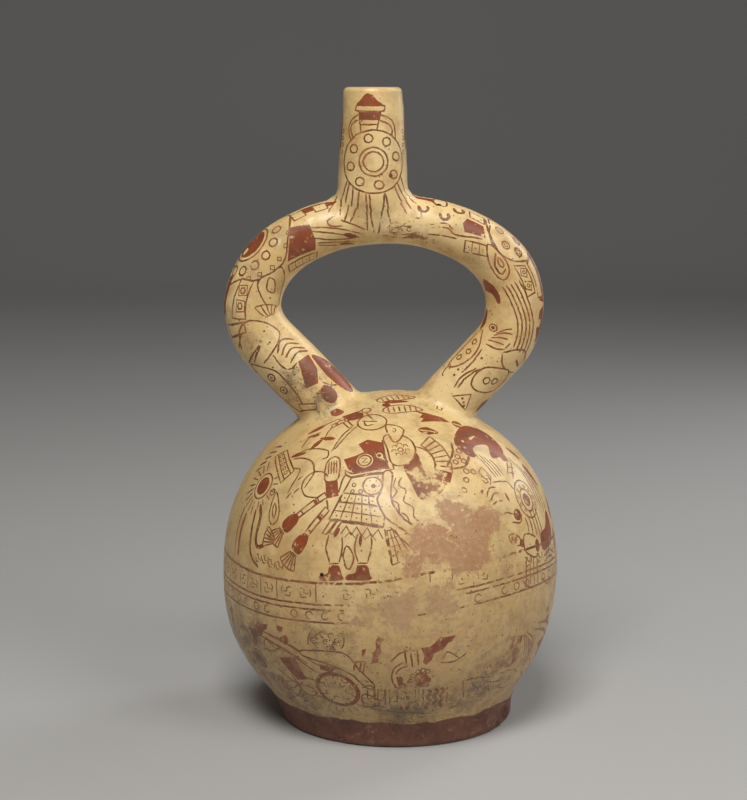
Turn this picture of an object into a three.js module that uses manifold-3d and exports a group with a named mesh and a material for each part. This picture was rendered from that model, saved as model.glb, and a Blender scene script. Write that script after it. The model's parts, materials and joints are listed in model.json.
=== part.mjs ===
// A slip-painted pottery bottle: a round chamber on a low ring foot, with a hollow stirrup
// that rises from its shoulders as an arch and carries one tapered spout.
// It is one fired piece of clay, so it is one mesh. Millimetres, +Z up, the foot stands on z = 0,
// the chamber's axis is the Z axis, and the stirrup lies in the XZ plane.
import * as THREE from "three";
import { mergeVertices } from "three/addons/utils/BufferGeometryUtils.js";
import Module from "manifold-3d";

// Chamber
const chamberRadius = 76;
const chamberHalfHeight = 77.5;
const chamberCentreZ = 69;
const chamberFullness = 2.1; // exponent of the outline: 2 is an ellipse, more is fuller
const chamberWall = 5;
const undersideZ = 3.5; // the flat base inside the foot ring stands clear of the table

// Ring foot, luted on a little off centre
const footRadius = 52.9;
const footHeight = 14.5; // its top is lost in the chamber's wall
const footRingWidth = 13;
const footEdge = 2.4; // rounding of its lower edge
const footShiftX = 2.6;

// Stirrup: a full arch over a short bend on each side, then straight legs that lean inwards
const stirrupHalfSpan = 58.7; // from the middle of the arch to the middle of the tube
const stirrupRise = 79.7; // from the chamber's top to the middle of the tube at the crown
const stirrupShiftX = -3.3;
const archHeight = 38.2; // from the widest place up to the crown
const archFullness = 2.15; // exponent of the arch: 2 is an ellipse, more is fuller
const bendRadius = 27;
const legLean = 43; // degrees from upright
const legRadius = 13.4;
const crownRadius = 11.3;
const crownDepthRatio = 1.12; // the tube is a little deeper than it is tall at the crown
const stirrupWall = 4.6;

// Spout
const spoutHeight = 57.8; // from the middle of the tube at the crown to the lip
const spoutTopRadius = 12.9;
const spoutBaseRadius = 15.4;
const spoutBoreRadius = 8.9;
const spoutShiftX = -8;
const lipRound = 2.2;

// A chip in the edge of the foot
const chipRadius = 5;
const chipDepth = 2;
const chipTurn = -24; // degrees round the foot, from +X towards the front

const chamberTopZ = chamberCentreZ + chamberHalfHeight;
const crownZ = chamberTopZ + stirrupRise;
const lipZ = crownZ + spoutHeight;

// Facets
const aroundChamber = 60;
const upChamber = 22;
const aroundHollow = 36;
const upHollow = 14;
const aroundTube = 20;
const alongTube = 52;
const aroundBore = 12;
const alongBore = 40;
const aroundSpout = 32;

const wasm = await Module();
wasm.setup();

function solidOf(geometry) {
  const bare = geometry.clone();
  bare.deleteAttribute("normal");
  bare.deleteAttribute("uv");
  const merged = mergeVertices(bare, 1e-3);
  return new wasm.Manifold(
    new wasm.Mesh({
      numProp: 3,
      vertProperties: merged.attributes.position.array,
      triVerts: new Uint32Array(merged.index.array),
    }),
  );
}

function geometryOf(solid) {
  const mesh = solid.getMesh();
  const geometry = new THREE.BufferGeometry();
  geometry.setAttribute(
    "position",
    new THREE.BufferAttribute(new Float32Array(mesh.vertProperties), 3),
  );
  geometry.setIndex(new THREE.BufferAttribute(mesh.triVerts, 1));
  geometry.computeVertexNormals();
  return geometry;
}

// A solid of revolution about Z, from [radius, z] pairs that run from the bottom up on the outside.
// LatheGeometry turns about Y, so it is stood up afterwards.
function turned(outline, segments) {
  const points = outline.map(([radius, z]) => new THREE.Vector2(radius, z));
  return new THREE.LatheGeometry(points, segments).rotateX(Math.PI / 2);
}

// Points on an arc of an ellipse between two angles in degrees
function arc(centreR, centreZ, reach, rise, from, to, steps) {
  const points = [];
  for (let i = 0; i <= steps; i++) {
    const turn = THREE.MathUtils.degToRad(from + ((to - from) * i) / steps);
    points.push([centreR + reach * Math.cos(turn), centreZ + rise * Math.sin(turn)]);
  }
  return points;
}

// The chamber's outline, moved inwards by a depth, from a flat floor to the top
function chamberOutline(depth, floorZ, steps) {
  const radius = chamberRadius - depth;
  const half = chamberHalfHeight - depth;
  const power = 2 / chamberFullness;
  const lowest = Math.min((chamberCentreZ - floorZ) / half, 1);
  const start = -Math.asin(Math.pow(lowest, 1 / power));
  const outline = [[0, floorZ]];
  for (let i = 0; i < steps; i++) {
    const turn = start + ((Math.PI / 2 - start) * i) / steps;
    const rise = Math.sign(turn) * Math.pow(Math.abs(Math.sin(turn)), power);
    outline.push([radius * Math.pow(Math.cos(turn), power), chamberCentreZ + half * rise]);
  }
  outline.push([0, chamberCentreZ + half]);
  return outline;
}

function chamber() {
  return solidOf(turned(chamberOutline(0, undersideZ, upChamber), aroundChamber));
}

function chamberHollow() {
  const floorZ = undersideZ + chamberWall;
  return solidOf(turned(chamberOutline(chamberWall, floorZ, upHollow), aroundHollow));
}

// A ring with an upright outer face and a rounded lower edge
function foot() {
  const inner = footRadius - footRingWidth;
  const outline = [
    [inner, 0],
    ...arc(footRadius - footEdge, footEdge, footEdge, footEdge, -90, 0, 4),
    [footRadius, footHeight],
    [inner, footHeight],
    [inner, 0],
  ];
  return solidOf(turned(outline, aroundChamber)).translate([footShiftX, 0, 0]);
}

// One side of the stirrup's middle line, from the crown out and down into the chamber,
// as [distance from the middle of the arch, z] pairs
function stirrupSide() {
  const power = 2 / archFullness;
  const widestZ = crownZ - archHeight;
  const lean = THREE.MathUtils.degToRad(legLean);
  const side = [];
  for (let i = 1; i <= 12; i++) {
    const turn = ((Math.PI / 2) * i) / 12;
    const across = stirrupHalfSpan * Math.pow(Math.sin(turn), power);
    side.push([across, widestZ + archHeight * Math.pow(Math.max(Math.cos(turn), 0), power)]);
  }
  side.push(...arc(stirrupHalfSpan - bendRadius, widestZ, bendRadius, bendRadius, -8, -legLean, 4));
  const [across, z] = side[side.length - 1];
  const reach = across - legRadius; // the leg ends inside the chamber, beside its axis
  for (let i = 1; i <= 4; i++) {
    const along = (reach * i) / 4;
    side.push([across - along, z - along / Math.tan(lean)]);
  }
  return side;
}

function stirrupPath() {
  const side = stirrupSide();
  const right = side.map(([across, z]) => new THREE.Vector3(stirrupShiftX + across, 0, z));
  const left = side.map(([across, z]) => new THREE.Vector3(stirrupShiftX - across, 0, z));
  const crown = new THREE.Vector3(stirrupShiftX, 0, crownZ);
  return new THREE.CatmullRomCurve3([...right.reverse(), crown, ...left]);
}

// A closed tube laid along the stirrup's middle line, moved inwards by a depth.
// It swells from the crown down to the legs, where its section is round.
function stirrupTube(depth, around, along) {
  const path = stirrupPath();
  const tube = new THREE.CylinderGeometry(1, 1, 1, around, along);
  const place = tube.attributes.position;
  const across = new THREE.Vector3(0, 1, 0);
  for (let i = 0; i < place.count; i++) {
    const share = place.getY(i) + 0.5;
    const centre = path.getPointAt(share);
    const ahead = path.getTangentAt(share);
    const inwards = new THREE.Vector3().crossVectors(ahead, across);
    const swell = THREE.MathUtils.smoothstep(Math.abs(2 * share - 1), 0, 0.6);
    const tall = THREE.MathUtils.lerp(crownRadius, legRadius, swell);
    const deep = THREE.MathUtils.lerp(crownRadius * crownDepthRatio, legRadius, swell);
    centre.addScaledVector(inwards, place.getX(i) * (tall - depth));
    centre.addScaledVector(across, place.getZ(i) * (deep - depth));
    place.setXYZ(i, centre.x, centre.y, centre.z);
  }
  return solidOf(tube);
}

// The spout's outside: a bowl that is lost in the tube, a tapered neck and a rounded lip
function spout() {
  const bowlZ = crownZ + crownRadius * 0.9;
  const bowlDepth = crownRadius * 1.7;
  const bowl = arc(0, bowlZ, spoutBaseRadius, bowlDepth, -90, 0, 7);
  bowl[0][0] = 0;
  const outline = [
    ...bowl,
    ...arc(spoutTopRadius - lipRound, lipZ - lipRound, lipRound, lipRound, 0, 90, 4),
    [0, lipZ],
  ];
  return solidOf(turned(outline, aroundSpout)).translate([spoutShiftX, 0, 0]);
}

function spoutBore() {
  const top = lipZ + lipRound;
  const bore = new THREE.CylinderGeometry(spoutBoreRadius, spoutBoreRadius, top - crownZ, aroundSpout);
  bore.rotateX(Math.PI / 2).translate(spoutShiftX, 0, (top + crownZ) / 2);
  return solidOf(bore);
}

function chip() {
  const turn = THREE.MathUtils.degToRad(chipTurn);
  const reach = footRadius + chipRadius - chipDepth;
  const ball = new THREE.IcosahedronGeometry(chipRadius, 2);
  ball.translate(footShiftX + reach * Math.cos(turn), reach * Math.sin(turn), footEdge);
  return solidOf(ball);
}

function bottle() {
  const clay = chamber()
    .add(foot())
    .add(stirrupTube(0, aroundTube, alongTube))
    .add(spout());
  const hollow = chamberHollow()
    .add(stirrupTube(stirrupWall, aroundBore, alongBore))
    .add(spoutBore());
  const slip = new THREE.MeshStandardMaterial({
    color: new THREE.Color(0.8, 0.66, 0.42),
    roughness: 0.55,
    metalness: 0,
  });
  const mesh = new THREE.Mesh(geometryOf(clay.subtract(hollow).subtract(chip())), slip);
  mesh.name = "stirrup_spout_bottle";
  return mesh;
}

const vessel = new THREE.Group();
vessel.add(bottle());

export default vessel;
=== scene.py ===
import json
import math
import random

import bpy
import numpy as np
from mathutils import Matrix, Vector
from mathutils.geometry import delaunay_2d_cdt

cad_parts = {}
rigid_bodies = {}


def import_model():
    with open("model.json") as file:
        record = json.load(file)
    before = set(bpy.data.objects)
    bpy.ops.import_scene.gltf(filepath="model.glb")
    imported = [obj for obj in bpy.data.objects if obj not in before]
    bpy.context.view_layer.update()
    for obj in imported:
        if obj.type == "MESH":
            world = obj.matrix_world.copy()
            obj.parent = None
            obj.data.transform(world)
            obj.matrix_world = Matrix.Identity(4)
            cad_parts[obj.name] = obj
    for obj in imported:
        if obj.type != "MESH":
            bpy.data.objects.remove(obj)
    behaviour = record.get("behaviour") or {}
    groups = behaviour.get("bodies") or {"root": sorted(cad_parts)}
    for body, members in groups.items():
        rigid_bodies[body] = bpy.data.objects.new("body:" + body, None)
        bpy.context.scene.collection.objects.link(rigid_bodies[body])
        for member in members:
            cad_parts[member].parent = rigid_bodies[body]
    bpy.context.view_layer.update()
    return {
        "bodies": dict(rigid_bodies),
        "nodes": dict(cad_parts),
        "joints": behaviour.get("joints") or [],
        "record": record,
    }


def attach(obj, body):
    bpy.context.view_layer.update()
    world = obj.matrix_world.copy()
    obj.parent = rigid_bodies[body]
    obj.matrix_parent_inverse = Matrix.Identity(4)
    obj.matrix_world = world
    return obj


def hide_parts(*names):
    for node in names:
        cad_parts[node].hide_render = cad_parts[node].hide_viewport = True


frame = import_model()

# The chamber and its ring foot
# A round chamber of coiled and scraped clay, with a ring foot luted under it. Each part of the
# clay is a rule here, that says how far outside it a place lies. Sizes are in millimetres, and
# become metres when the mesh is made.
MM = 0.001

chamber_radius = 76.0
chamber_half_height = 77.5
chamber_middle = 69.0
chamber_fullness = 2.1
crown_mound = 1.9
mound_reach = 24.0

foot_radius = 52.9
foot_shift = 2.6
foot_top = 14.5
foot_joint = 7.0


def join(first, second, softness):
    """Two distances become one, with the corner between the two solids filled by wiped clay."""
    share = np.clip(0.5 + 0.5 * (second - first) / softness, 0, 1)
    return second + (first - second) * share - softness * share * (1 - share)


def body_gap(place):
    """Distance outside the chamber and its foot. The crown between the legs is heaped a little."""
    across = np.hypot(place[:, 0], place[:, 1]) / chamber_radius
    up = np.abs(place[:, 2] - chamber_middle) / chamber_half_height
    level = (across ** chamber_fullness + up ** chamber_fullness) ** (1 / chamber_fullness)
    mound = crown_mound * np.exp(-(across * chamber_radius / mound_reach) ** 2)
    chamber = (level - 1) * chamber_radius - np.where(place[:, 2] > chamber_middle, mound, 0)
    foot = np.hypot(place[:, 0] - foot_shift, place[:, 1]) - foot_radius
    foot = np.maximum(foot, place[:, 2] - foot_top)
    return join(chamber, foot, foot_joint)


# The stirrup
# Two tubes of clay, bent while soft, that meet at the crown and are luted to the chamber's
# shoulders. They swell towards the legs. The right one is a little thinner, and the left one's
# shoulder is drawn in.
stirrup_half_span = 58.7
stirrup_shift = -3.3
crown_height = 226.2
arch_height = 38.2
arch_fullness = 2.15
bend_radius = 27.0
leg_lean = math.radians(43)
leg_radius = 13.4
crown_radius = 11.3
crown_depth = 12.7
swell_ends = 0.6
leg_joint = 3.4

leg_shift = 1.8
leg_shift_fall = 30
shoulder_tuck = 2.0
right_slimmer = 0.6
slimmer_from, slimmer_to = 20, 60
leg_radii = {-1: leg_radius, 1: leg_radius - right_slimmer}

first_turn = 0.03
line_step = 0.5
softening = 9


def smooth_step(value, low, high):
    share = np.clip((value - low) / (high - low), 0, 1)
    return share * share * (3 - 2 * share)


def stirrup_line():
    """The middle of the tube as x, z and distance along, from the left leg's end to the right's."""
    power = 2 / arch_fullness
    widest = crown_height - arch_height
    turn = np.linspace(first_turn, math.pi / 2, 70)
    arch_x = stirrup_half_span * np.sin(turn) ** power
    arch_z = widest + arch_height * np.clip(np.cos(turn), 0, 1) ** power
    bend = np.linspace(first_turn, leg_lean, 24)
    bend_x = stirrup_half_span - bend_radius * (1 - np.cos(bend))
    bend_z = widest - bend_radius * np.sin(bend)
    along = np.linspace(1, bend_x[-1] - leg_radius, 40)
    side_x = np.concatenate([arch_x, bend_x, bend_x[-1] - along])
    side_z = np.concatenate([arch_z, bend_z, bend_z[-1] - along / math.tan(leg_lean)])
    shifted = leg_shift * smooth_step(widest - side_z, 0, leg_shift_fall)
    tucked = np.zeros(len(side_x))
    tucked[:len(turn)] = shoulder_tuck * np.sin(2 * turn)
    left_x = shifted + tucked - side_x
    x = stirrup_shift + np.concatenate([left_x[::-1], [0], side_x + shifted])
    z = np.concatenate([side_z[::-1], [crown_height], side_z])
    reach = np.concatenate([[0], np.cumsum(np.hypot(np.diff(x), np.diff(z)))])
    even = np.arange(0, reach[-1], line_step)
    x = np.interp(even, reach, x)
    z = np.interp(even, reach, z)
    soften = np.ones(softening) / softening
    kept = slice(softening // 2, -(softening // 2))
    x[kept] = np.convolve(x, soften, "valid")
    z[kept] = np.convolve(z, soften, "valid")
    return x, z, even - reach[-1] / 2


line_x, line_z, line_s = stirrup_line()
line_dx = np.gradient(line_x, line_s)
line_dz = np.gradient(line_z, line_s)
half_length = line_s[-1]


def tube_radii(s):
    """The tube's radius in the arch's plane and across it, at distances along."""
    swell = smooth_step(np.abs(s) / half_length, 0, swell_ends)
    tall = crown_radius + (leg_radius - crown_radius) * swell
    deep = crown_depth + (leg_radius - crown_depth) * swell
    slimmer = right_slimmer * smooth_step(s, slimmer_from, slimmer_to)
    return tall - slimmer, deep - slimmer


def tube_ray(s, turn):
    """Middle of the tube and heading away from it: turn 0 is outwards, a quarter turn is the front."""
    along_x = np.interp(s, line_s, line_dx)
    along_z = np.interp(s, line_s, line_dz)
    length = np.hypot(along_x, along_z)
    middle = np.column_stack([np.interp(s, line_s, line_x), 0 * s, np.interp(s, line_s, line_z)])
    heading = np.column_stack([
        -along_z / length * np.cos(turn),
        -np.sin(turn),
        along_x / length * np.cos(turn),
    ])
    return middle, heading


def leg_gap(place, side):
    """Distance outside one straight leg, -1 on the left and 1 on the right."""
    end_x = np.interp(side * (half_length - 4), line_s, line_x)
    end_z = np.interp(side * (half_length - 4), line_s, line_z)
    away_x = side * math.sin(leg_lean)
    away_z = math.cos(leg_lean)
    offset_x = place[:, 0] - end_x
    offset_z = place[:, 2] - end_z
    off_line = offset_x * away_z - offset_z * away_x
    below_end = -(offset_x * away_x + offset_z * away_z)
    return np.maximum(np.hypot(off_line, place[:, 1]) - leg_radii[side], below_end)


def chamber_gap(place):
    gap = join(body_gap(place), leg_gap(place, -1), leg_joint)
    return join(gap, leg_gap(place, 1), leg_joint)


# The spout
# A tapered neck set on the arch a little left of its crown. Its lower end is a bowl that is lost
# in the tube, and the joint is wiped into a soft hollow.
spout_shift = -8.0
spout_top_radius = 12.75
spout_base_radius = 16.1
spout_joint = 4.5
lip_height = 284.0
lip_round = 2.2
bowl_height = crown_height + 0.9 * crown_radius
bowl_depth = 1.2 * crown_radius
crown_reach = 60


def spout_gap(place):
    across = np.hypot(place[:, 0] - spout_shift, place[:, 1])
    share = (place[:, 2] - bowl_height) / (lip_height - bowl_height)
    neck = across - (spout_base_radius + (spout_top_radius - spout_base_radius) * share)
    level = np.hypot(across / spout_base_radius, (place[:, 2] - bowl_height) / bowl_depth)
    return np.where(share > 0, neck, (level - 1) * spout_base_radius)


def line_gap(place, near):
    """Distance outside the tube, measured from some of the points of its middle line."""
    squared = (place[:, :1] - line_x[near]) ** 2 + (place[:, 2:] - line_z[near]) ** 2
    closest = near[np.argmin(squared, axis=1)]
    tall, deep = tube_radii(line_s[closest])
    off_line = np.sqrt(np.min(squared, axis=1))
    return (np.hypot(off_line / tall, place[:, 1] / deep) - 1) * tall


def crown_gap(place):
    return line_gap(place, np.flatnonzero(np.abs(line_s) < crown_reach)[::3])


def reach_surface(start, heading, near, far, gap):
    """The first place along each ray where it leaves the clay, between a near and a far reach."""
    low = np.full(len(start), float(near))
    high = np.full(len(start), float(far))
    found = np.zeros(len(start), bool)
    before = near
    for reach in np.linspace(near, far, 60)[1:]:
        out = (gap(start + heading * reach) > 0) & ~found
        low[out] = before
        high[out] = reach
        found |= out
        before = reach
    for halving in range(20):
        middle = (low + high) / 2
        out = gap(start + heading * middle[:, None]) > 0
        high = np.where(out, middle, high)
        low = np.where(out, low, middle)
    return start + heading * high[:, None]


# Places on the skin
# The skin is laid out flat in three sheets, as a potter's slip is brushed: the chamber seen
# from under its foot, the stirrup unrolled along its tube, and the spout unrolled round its neck.
sheet_scale = chamber_radius
tube_girth = 12.8
neck_girth = 14.0
spout_seam_low = 230.0
spout_seam_rise = 7.5
foot_seam = 9.0
leg_end_zone = 50.0
chamber_search = (55, 100)
tube_search = (6, 34)
neck_search = (4, 34)
chamber_centre = np.array([0, 0, chamber_middle])


def chamber_sheet(heading):
    stretch = 2 * sheet_scale / (1 + heading[:, 2])
    return np.column_stack([heading[:, 0] * stretch, heading[:, 1] * stretch])


def chamber_heading(flat):
    squared = np.sum(flat ** 2, axis=1) / (4 * sheet_scale ** 2)
    shrink = 1 / (1 + squared)
    return np.column_stack([
        flat[:, 0] / sheet_scale * shrink,
        flat[:, 1] / sheet_scale * shrink,
        (1 - squared) * shrink,
    ])


def chamber_lift(flat):
    start = np.tile(chamber_centre, (len(flat), 1))
    return reach_surface(start, chamber_heading(flat), *chamber_search, chamber_gap)


def tube_lift(flat):
    s = flat[:, 0]
    turn = flat[:, 1] / tube_girth
    middle, heading = tube_ray(s, turn)
    tall, deep = tube_radii(s)
    wall = 1 / np.hypot(np.cos(turn) / tall, np.sin(turn) / deep)

    def gap(place):
        reach = np.linalg.norm(place - middle, axis=1)
        clay = join((reach / wall - 1) * tall, body_gap(place), leg_joint)
        return join(clay, spout_gap(place), spout_joint)

    return reach_surface(middle, heading, *tube_search, gap)


def spout_place(turn, z):
    start = np.column_stack([np.full(len(z), spout_shift), 0 * z, z])
    heading = np.column_stack([np.sin(turn), -np.cos(turn), 0 * z])

    def gap(place):
        return join(spout_gap(place), crown_gap(place), spout_joint)

    return reach_surface(start, heading, *neck_search, gap)


def spout_lift(flat):
    return spout_place(flat[:, 0] / neck_girth, flat[:, 1])


def spout_seam_height(turn):
    return spout_seam_low + spout_seam_rise * np.sin(turn) ** 2


def leg_seam(side, count):
    """The middle of the hollow between tube and chamber, as distances along for even turns."""
    turn = np.linspace(-math.pi, math.pi, count)
    low = np.full(count, half_length - leg_end_zone)
    high = np.full(count, half_length)
    for halving in range(24):
        s = (low + high) / 2
        middle, heading = tube_ray(side * s, turn)
        inside = body_gap(middle + heading * (leg_radii[side] + leg_joint / 4)) < leg_joint / 4
        high = np.where(inside, s, high)
        low = np.where(inside, low, s)
    return side * high, turn


# The painted skin
# A coat of cream slip, burnished before firing, with figures in thin red-brown slip lines and
# filled areas. Each stroke is cut into the skin, so its edge is crisp from any distance.
# The last kind is no paint: near-black discs, painted shade for the dark inside two small holes.
slip_kind, line_kind, red_kind, pit_shade_kind = 0, 1, 2, 3
skin_points = []
skin_faces = []
skin_paint = []


def keep_points(places):
    first = len(skin_points)
    skin_points.extend(places)
    return list(range(first, first + len(places)))


def counter_clockwise(points, loop):
    area = 0
    for here, after in zip(loop, loop[1:] + loop[:1]):
        area += points[here][0] * points[after][1] - points[after][0] * points[here][1]
    return loop if area > 0 else loop[::-1]


def paint_kinds(centres, marks):
    """The paint that each triangle lies under. Later strokes cover earlier ones."""
    kinds = np.full(len(centres), slip_kind)
    order = np.argsort(centres[:, 0])
    sorted_x = centres[order, 0]
    for mark in marks:
        places = np.array(mark["points"])
        for face in mark["faces"]:
            here = places[face]
            after = np.roll(here, -1, 0)
            low, high = here.min(axis=0), here.max(axis=0)
            near = order[np.searchsorted(sorted_x, low[0]):np.searchsorted(sorted_x, high[0])]
            near = near[(centres[near, 1] > low[1]) & (centres[near, 1] < high[1])]
            x, y = centres[near, 0, None], centres[near, 1, None]
            spans = (here[:, 1] > y) != (after[:, 1] > y)
            rise = after[:, 1] - here[:, 1]
            rise[rise == 0] = 1e-12
            beyond = x < here[:, 0] + (y - here[:, 1]) * (after[:, 0] - here[:, 0]) / rise
            kinds[near[np.sum(spans & beyond, axis=1) % 2 == 1]] = mark["kind"]
    return kinds


def cut_sheet(outline, holes, grid, marks, lift, turned_over=False):
    """Cut one flat sheet along its outline, its holes and its strokes, and lift it to the clay."""
    flat = []
    kept = {}
    loops = []
    for edge in [outline] + holes:
        loop = []
        for spot, number in edge:
            kept[len(flat)] = number
            loop.append(len(flat))
            flat.append(spot)
        loops.append(counter_clockwise(flat, loop))
    flat.extend(grid)
    edges = []
    for mark in marks:
        first = len(flat)
        flat.extend(mark["points"])
        for face in mark["faces"]:
            edges.extend((first + here, first + after) for here, after in zip(face, face[1:] + face[:1]))
    spots = [Vector((float(x), float(y))) for x, y in flat]
    cut = delaunay_2d_cdt(spots, edges, loops, 0, 1e-4)
    corners, triangles, from_corner, from_face = cut[0], cut[2], cut[3], cut[5]
    inside = [0 in sources and not any(source > 0 for source in sources) for sources in from_face]
    used = [list(triangle) for triangle, within in zip(triangles, inside) if within]
    corner_spots = np.array([corner[:] for corner in corners])
    paint = paint_kinds(corner_spots[np.array(used)].mean(axis=1), marks)
    numbers = {}
    loose = []
    for corner in sorted({corner for triangle in used for corner in triangle}):
        own = [kept[source] for source in from_corner[corner] if source in kept]
        if own:
            numbers[corner] = own[0]
        else:
            loose.append(corner)
    lifted = lift(np.array([corners[corner][:] for corner in loose]))
    for corner, number in zip(loose, keep_points(lifted)):
        numbers[corner] = number
    for triangle, kind in zip(used, paint):
        face = [numbers[corner] for corner in triangle]
        if len(set(face)) == 3:
            skin_faces.append(face[::-1] if turned_over else face)
            skin_paint.append(int(kind))


def seam_pairs(flat, numbers):
    return [(tuple(spot), number) for spot, number in zip(flat, numbers)]


def even_grid(low_x, high_x, low_y, high_y, step, keep):
    """A staggered grid of places that keep says are inside."""
    rows = np.arange(low_y, high_y, step * 0.866)
    spots = []
    for row, y in enumerate(rows):
        x = np.arange(low_x + (row % 2) * step / 2, high_x, step)
        spots.append(np.column_stack([x, np.full(len(x), y)]))
    spots = np.concatenate(spots)
    return [tuple(spot) for spot in spots[keep(spots)]]


chamber_marks = []
tube_marks = []
neck_marks = []


# The painter's hand
# Every stroke is drawn in millimetres on a small patch of skin, x to the right and y up, and is
# then laid on the clay. The brush wavers a little, and thins where a stroke ends.
brush = random.Random(23)
brush_width = 0.8
brush_step = 1.5
waver = 0.07
edge_waver = 0.06
light_press, heavy_press = 0.8, 1.15
lifted_end = 0.6
degree_on_tube = math.radians(tube_girth)
degree_on_chamber = math.radians(chamber_radius)


def spun(points, spin, scale, flip):
    points = np.array(points, float) * [flip * scale, scale]
    turn = math.radians(spin)
    x = points[:, 0] * math.cos(turn) - points[:, 1] * math.sin(turn)
    y = points[:, 0] * math.sin(turn) + points[:, 1] * math.cos(turn)
    return x, y


def at_chamber(azimuth, elevation, spin=0, scale=1, flip=1):
    """A patch of the chamber. Azimuth 0 faces the front, elevation 0 is the chamber's middle."""
    azimuth, elevation = math.radians(azimuth), math.radians(elevation)
    level = math.cos(elevation)
    outwards = np.array([math.sin(azimuth) * level, -math.cos(azimuth) * level, math.sin(elevation)])
    right = np.array([math.cos(azimuth), math.sin(azimuth), 0])
    up = np.cross(outwards, right)

    def lay(points):
        x, y = spun(points, spin, scale, flip)
        angle = np.hypot(x, y) / chamber_radius
        share = np.sinc(angle / math.pi) / chamber_radius
        heading = np.outer(np.cos(angle), outwards) + np.outer(x * share, right) + np.outer(y * share, up)
        return chamber_sheet(heading)

    return {"marks": chamber_marks, "lay": lay, "scale": scale}


def at_tube(s, turn, spin=0, scale=1, flip=1):
    """A patch of the stirrup, upright for someone who faces it. Turn 90 faces the front."""
    lean = math.degrees(math.atan2(np.interp(s, line_s, line_dz), np.interp(s, line_s, line_dx)))
    facing = 1 if turn > 0 else -1

    def lay(points):
        x, y = spun(points, spin - facing * lean, scale, flip)
        return np.column_stack([s + facing * x, turn * degree_on_tube - facing * y])

    return {"marks": tube_marks, "lay": lay, "scale": scale}


def at_neck(turn, z, spin=0, scale=1, flip=1):
    """A patch of the spout. Turn 0 faces the front."""

    def lay(points):
        x, y = spun(points, spin, scale, flip)
        return np.column_stack([math.radians(turn) * neck_girth + x, z + y])

    return {"marks": neck_marks, "lay": lay, "scale": scale}


def round_belly(points):
    azimuth, elevation = np.radians(np.array(points, float).T / degree_on_chamber)
    level = np.cos(elevation)
    return chamber_sheet(np.column_stack([
        np.sin(azimuth) * level, -np.cos(azimuth) * level, np.sin(elevation)
    ]))


belly = {"marks": chamber_marks, "lay": round_belly, "scale": 1}
tube_skin = {"marks": tube_marks, "lay": np.array, "scale": 1}


def tube_spots(*pairs):
    """Distances along the tube and turns in degrees, as places on the tube's sheet."""
    return [(s, turn * degree_on_tube) for s, turn in pairs]


def belly_spots(*pairs):
    return [(azimuth * degree_on_chamber, elevation * degree_on_chamber) for azimuth, elevation in pairs]


def part_of(spot, x, y, spin=0, scale=1, flip=1):
    """A patch with its own middle, turn and size, inside another patch."""

    def lay(points):
        across, up = spun(points, spin, scale, flip)
        return spot["lay"](np.column_stack([across + x, up + y]))

    return {"marks": spot["marks"], "lay": lay, "scale": spot["scale"] * scale}


def flowing(points, closed, step):
    """Even steps along a smooth curve through the points."""
    points = np.array(points, float)
    if closed:
        padded = np.vstack([points[-1:], points, points[:2]])
    else:
        padded = np.vstack([2 * points[0] - points[1], points, 2 * points[-1] - points[-2]])
    share = np.linspace(0, 1, 9)[:-1, None]
    pieces = []
    for first in range(len(padded) - 3):
        before, here, after, beyond = padded[first:first + 4]
        bow = 2 * before - 5 * here + 4 * after - beyond
        twist = 3 * (here - after) - before + beyond
        pieces.append(here + ((after - before) * share + bow * share ** 2 + twist * share ** 3) / 2)
    pieces.append(padded[-2:-1])
    return evened(np.vstack(pieces), closed, step)


def evened(path, closed, step):
    reach = np.concatenate([[0], np.cumsum(np.linalg.norm(np.diff(path, axis=0), axis=1))])
    count = max(int(reach[-1] / step) + 1, 6 if closed else 2)
    even = np.linspace(0, reach[-1], count + 1)
    path = np.column_stack([np.interp(even, reach, path[:, 0]), np.interp(even, reach, path[:, 1])])
    return path[:-1] if closed else path


def jointed(points, closed, step):
    """Straight runs with their corners kept."""
    points = [tuple(point) for point in points]
    if closed:
        points.append(points[0])
    path = []
    for here, after in zip(points, points[1:]):
        count = max(int(math.dist(here, after) / (2 * step)), 1)
        for part in range(count):
            share = part / count
            path.append([here[0] + (after[0] - here[0]) * share, here[1] + (after[1] - here[1]) * share])
    return np.array(path if closed else path + [list(points[-1])])


def stroke(spot, points, width=brush_width, closed=False, straight=False):
    size = spot["scale"]
    path = (jointed if straight else flowing)(points, closed, brush_step / size)
    count = len(path)
    path = path + [[brush.gauss(0, waver / size), brush.gauss(0, waver / size)] for step in path]
    ahead = np.roll(path, -1, 0) - np.roll(path, 1, 0) if closed else np.gradient(path, axis=0)
    ahead /= np.linalg.norm(ahead, axis=1)[:, None] + 1e-9
    side = np.column_stack([-ahead[:, 1], ahead[:, 0]])
    half = np.array([width / size / 2 * brush.uniform(light_press, heavy_press) for step in path])
    if not closed:
        half[[0, -1]] *= lifted_end
    edges = np.vstack([path + side * half[:, None], path - side * half[:, None]])
    faces = [[step, step + 1, step + 1 + count, step + count] for step in range(count - 1)]
    if closed:
        faces.append([count - 1, 0, count, 2 * count - 1])
    spot["marks"].append({"points": spot["lay"](edges).tolist(), "faces": faces, "kind": line_kind})


def strokes(spot, *lines, width=brush_width):
    for line in lines:
        stroke(spot, line, width)


def fill(spot, points, kind=red_kind, straight=False):
    size = spot["scale"]
    path = (jointed if straight else flowing)(points, True, brush_step / size)
    path = path + [[brush.gauss(0, edge_waver / size),
    brush.gauss(0, edge_waver / size)] for step in path]
    faces = [list(range(len(path)))]
    spot["marks"].append({"points": spot["lay"](path).tolist(), "faces": faces, "kind": kind})


def shape(spot, points, kind=slip_kind, width=brush_width, straight=False):
    """An outline with its inside filled."""
    fill(spot, points, kind, straight)
    stroke(spot, points, width, True, straight)


def red_block(spot, points):
    """A red area with straight sides."""
    fill(spot, points, red_kind, True)


def panel(spot, points):
    """An outlined area of bare slip with straight sides."""
    shape(spot, points, straight=True)


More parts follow.
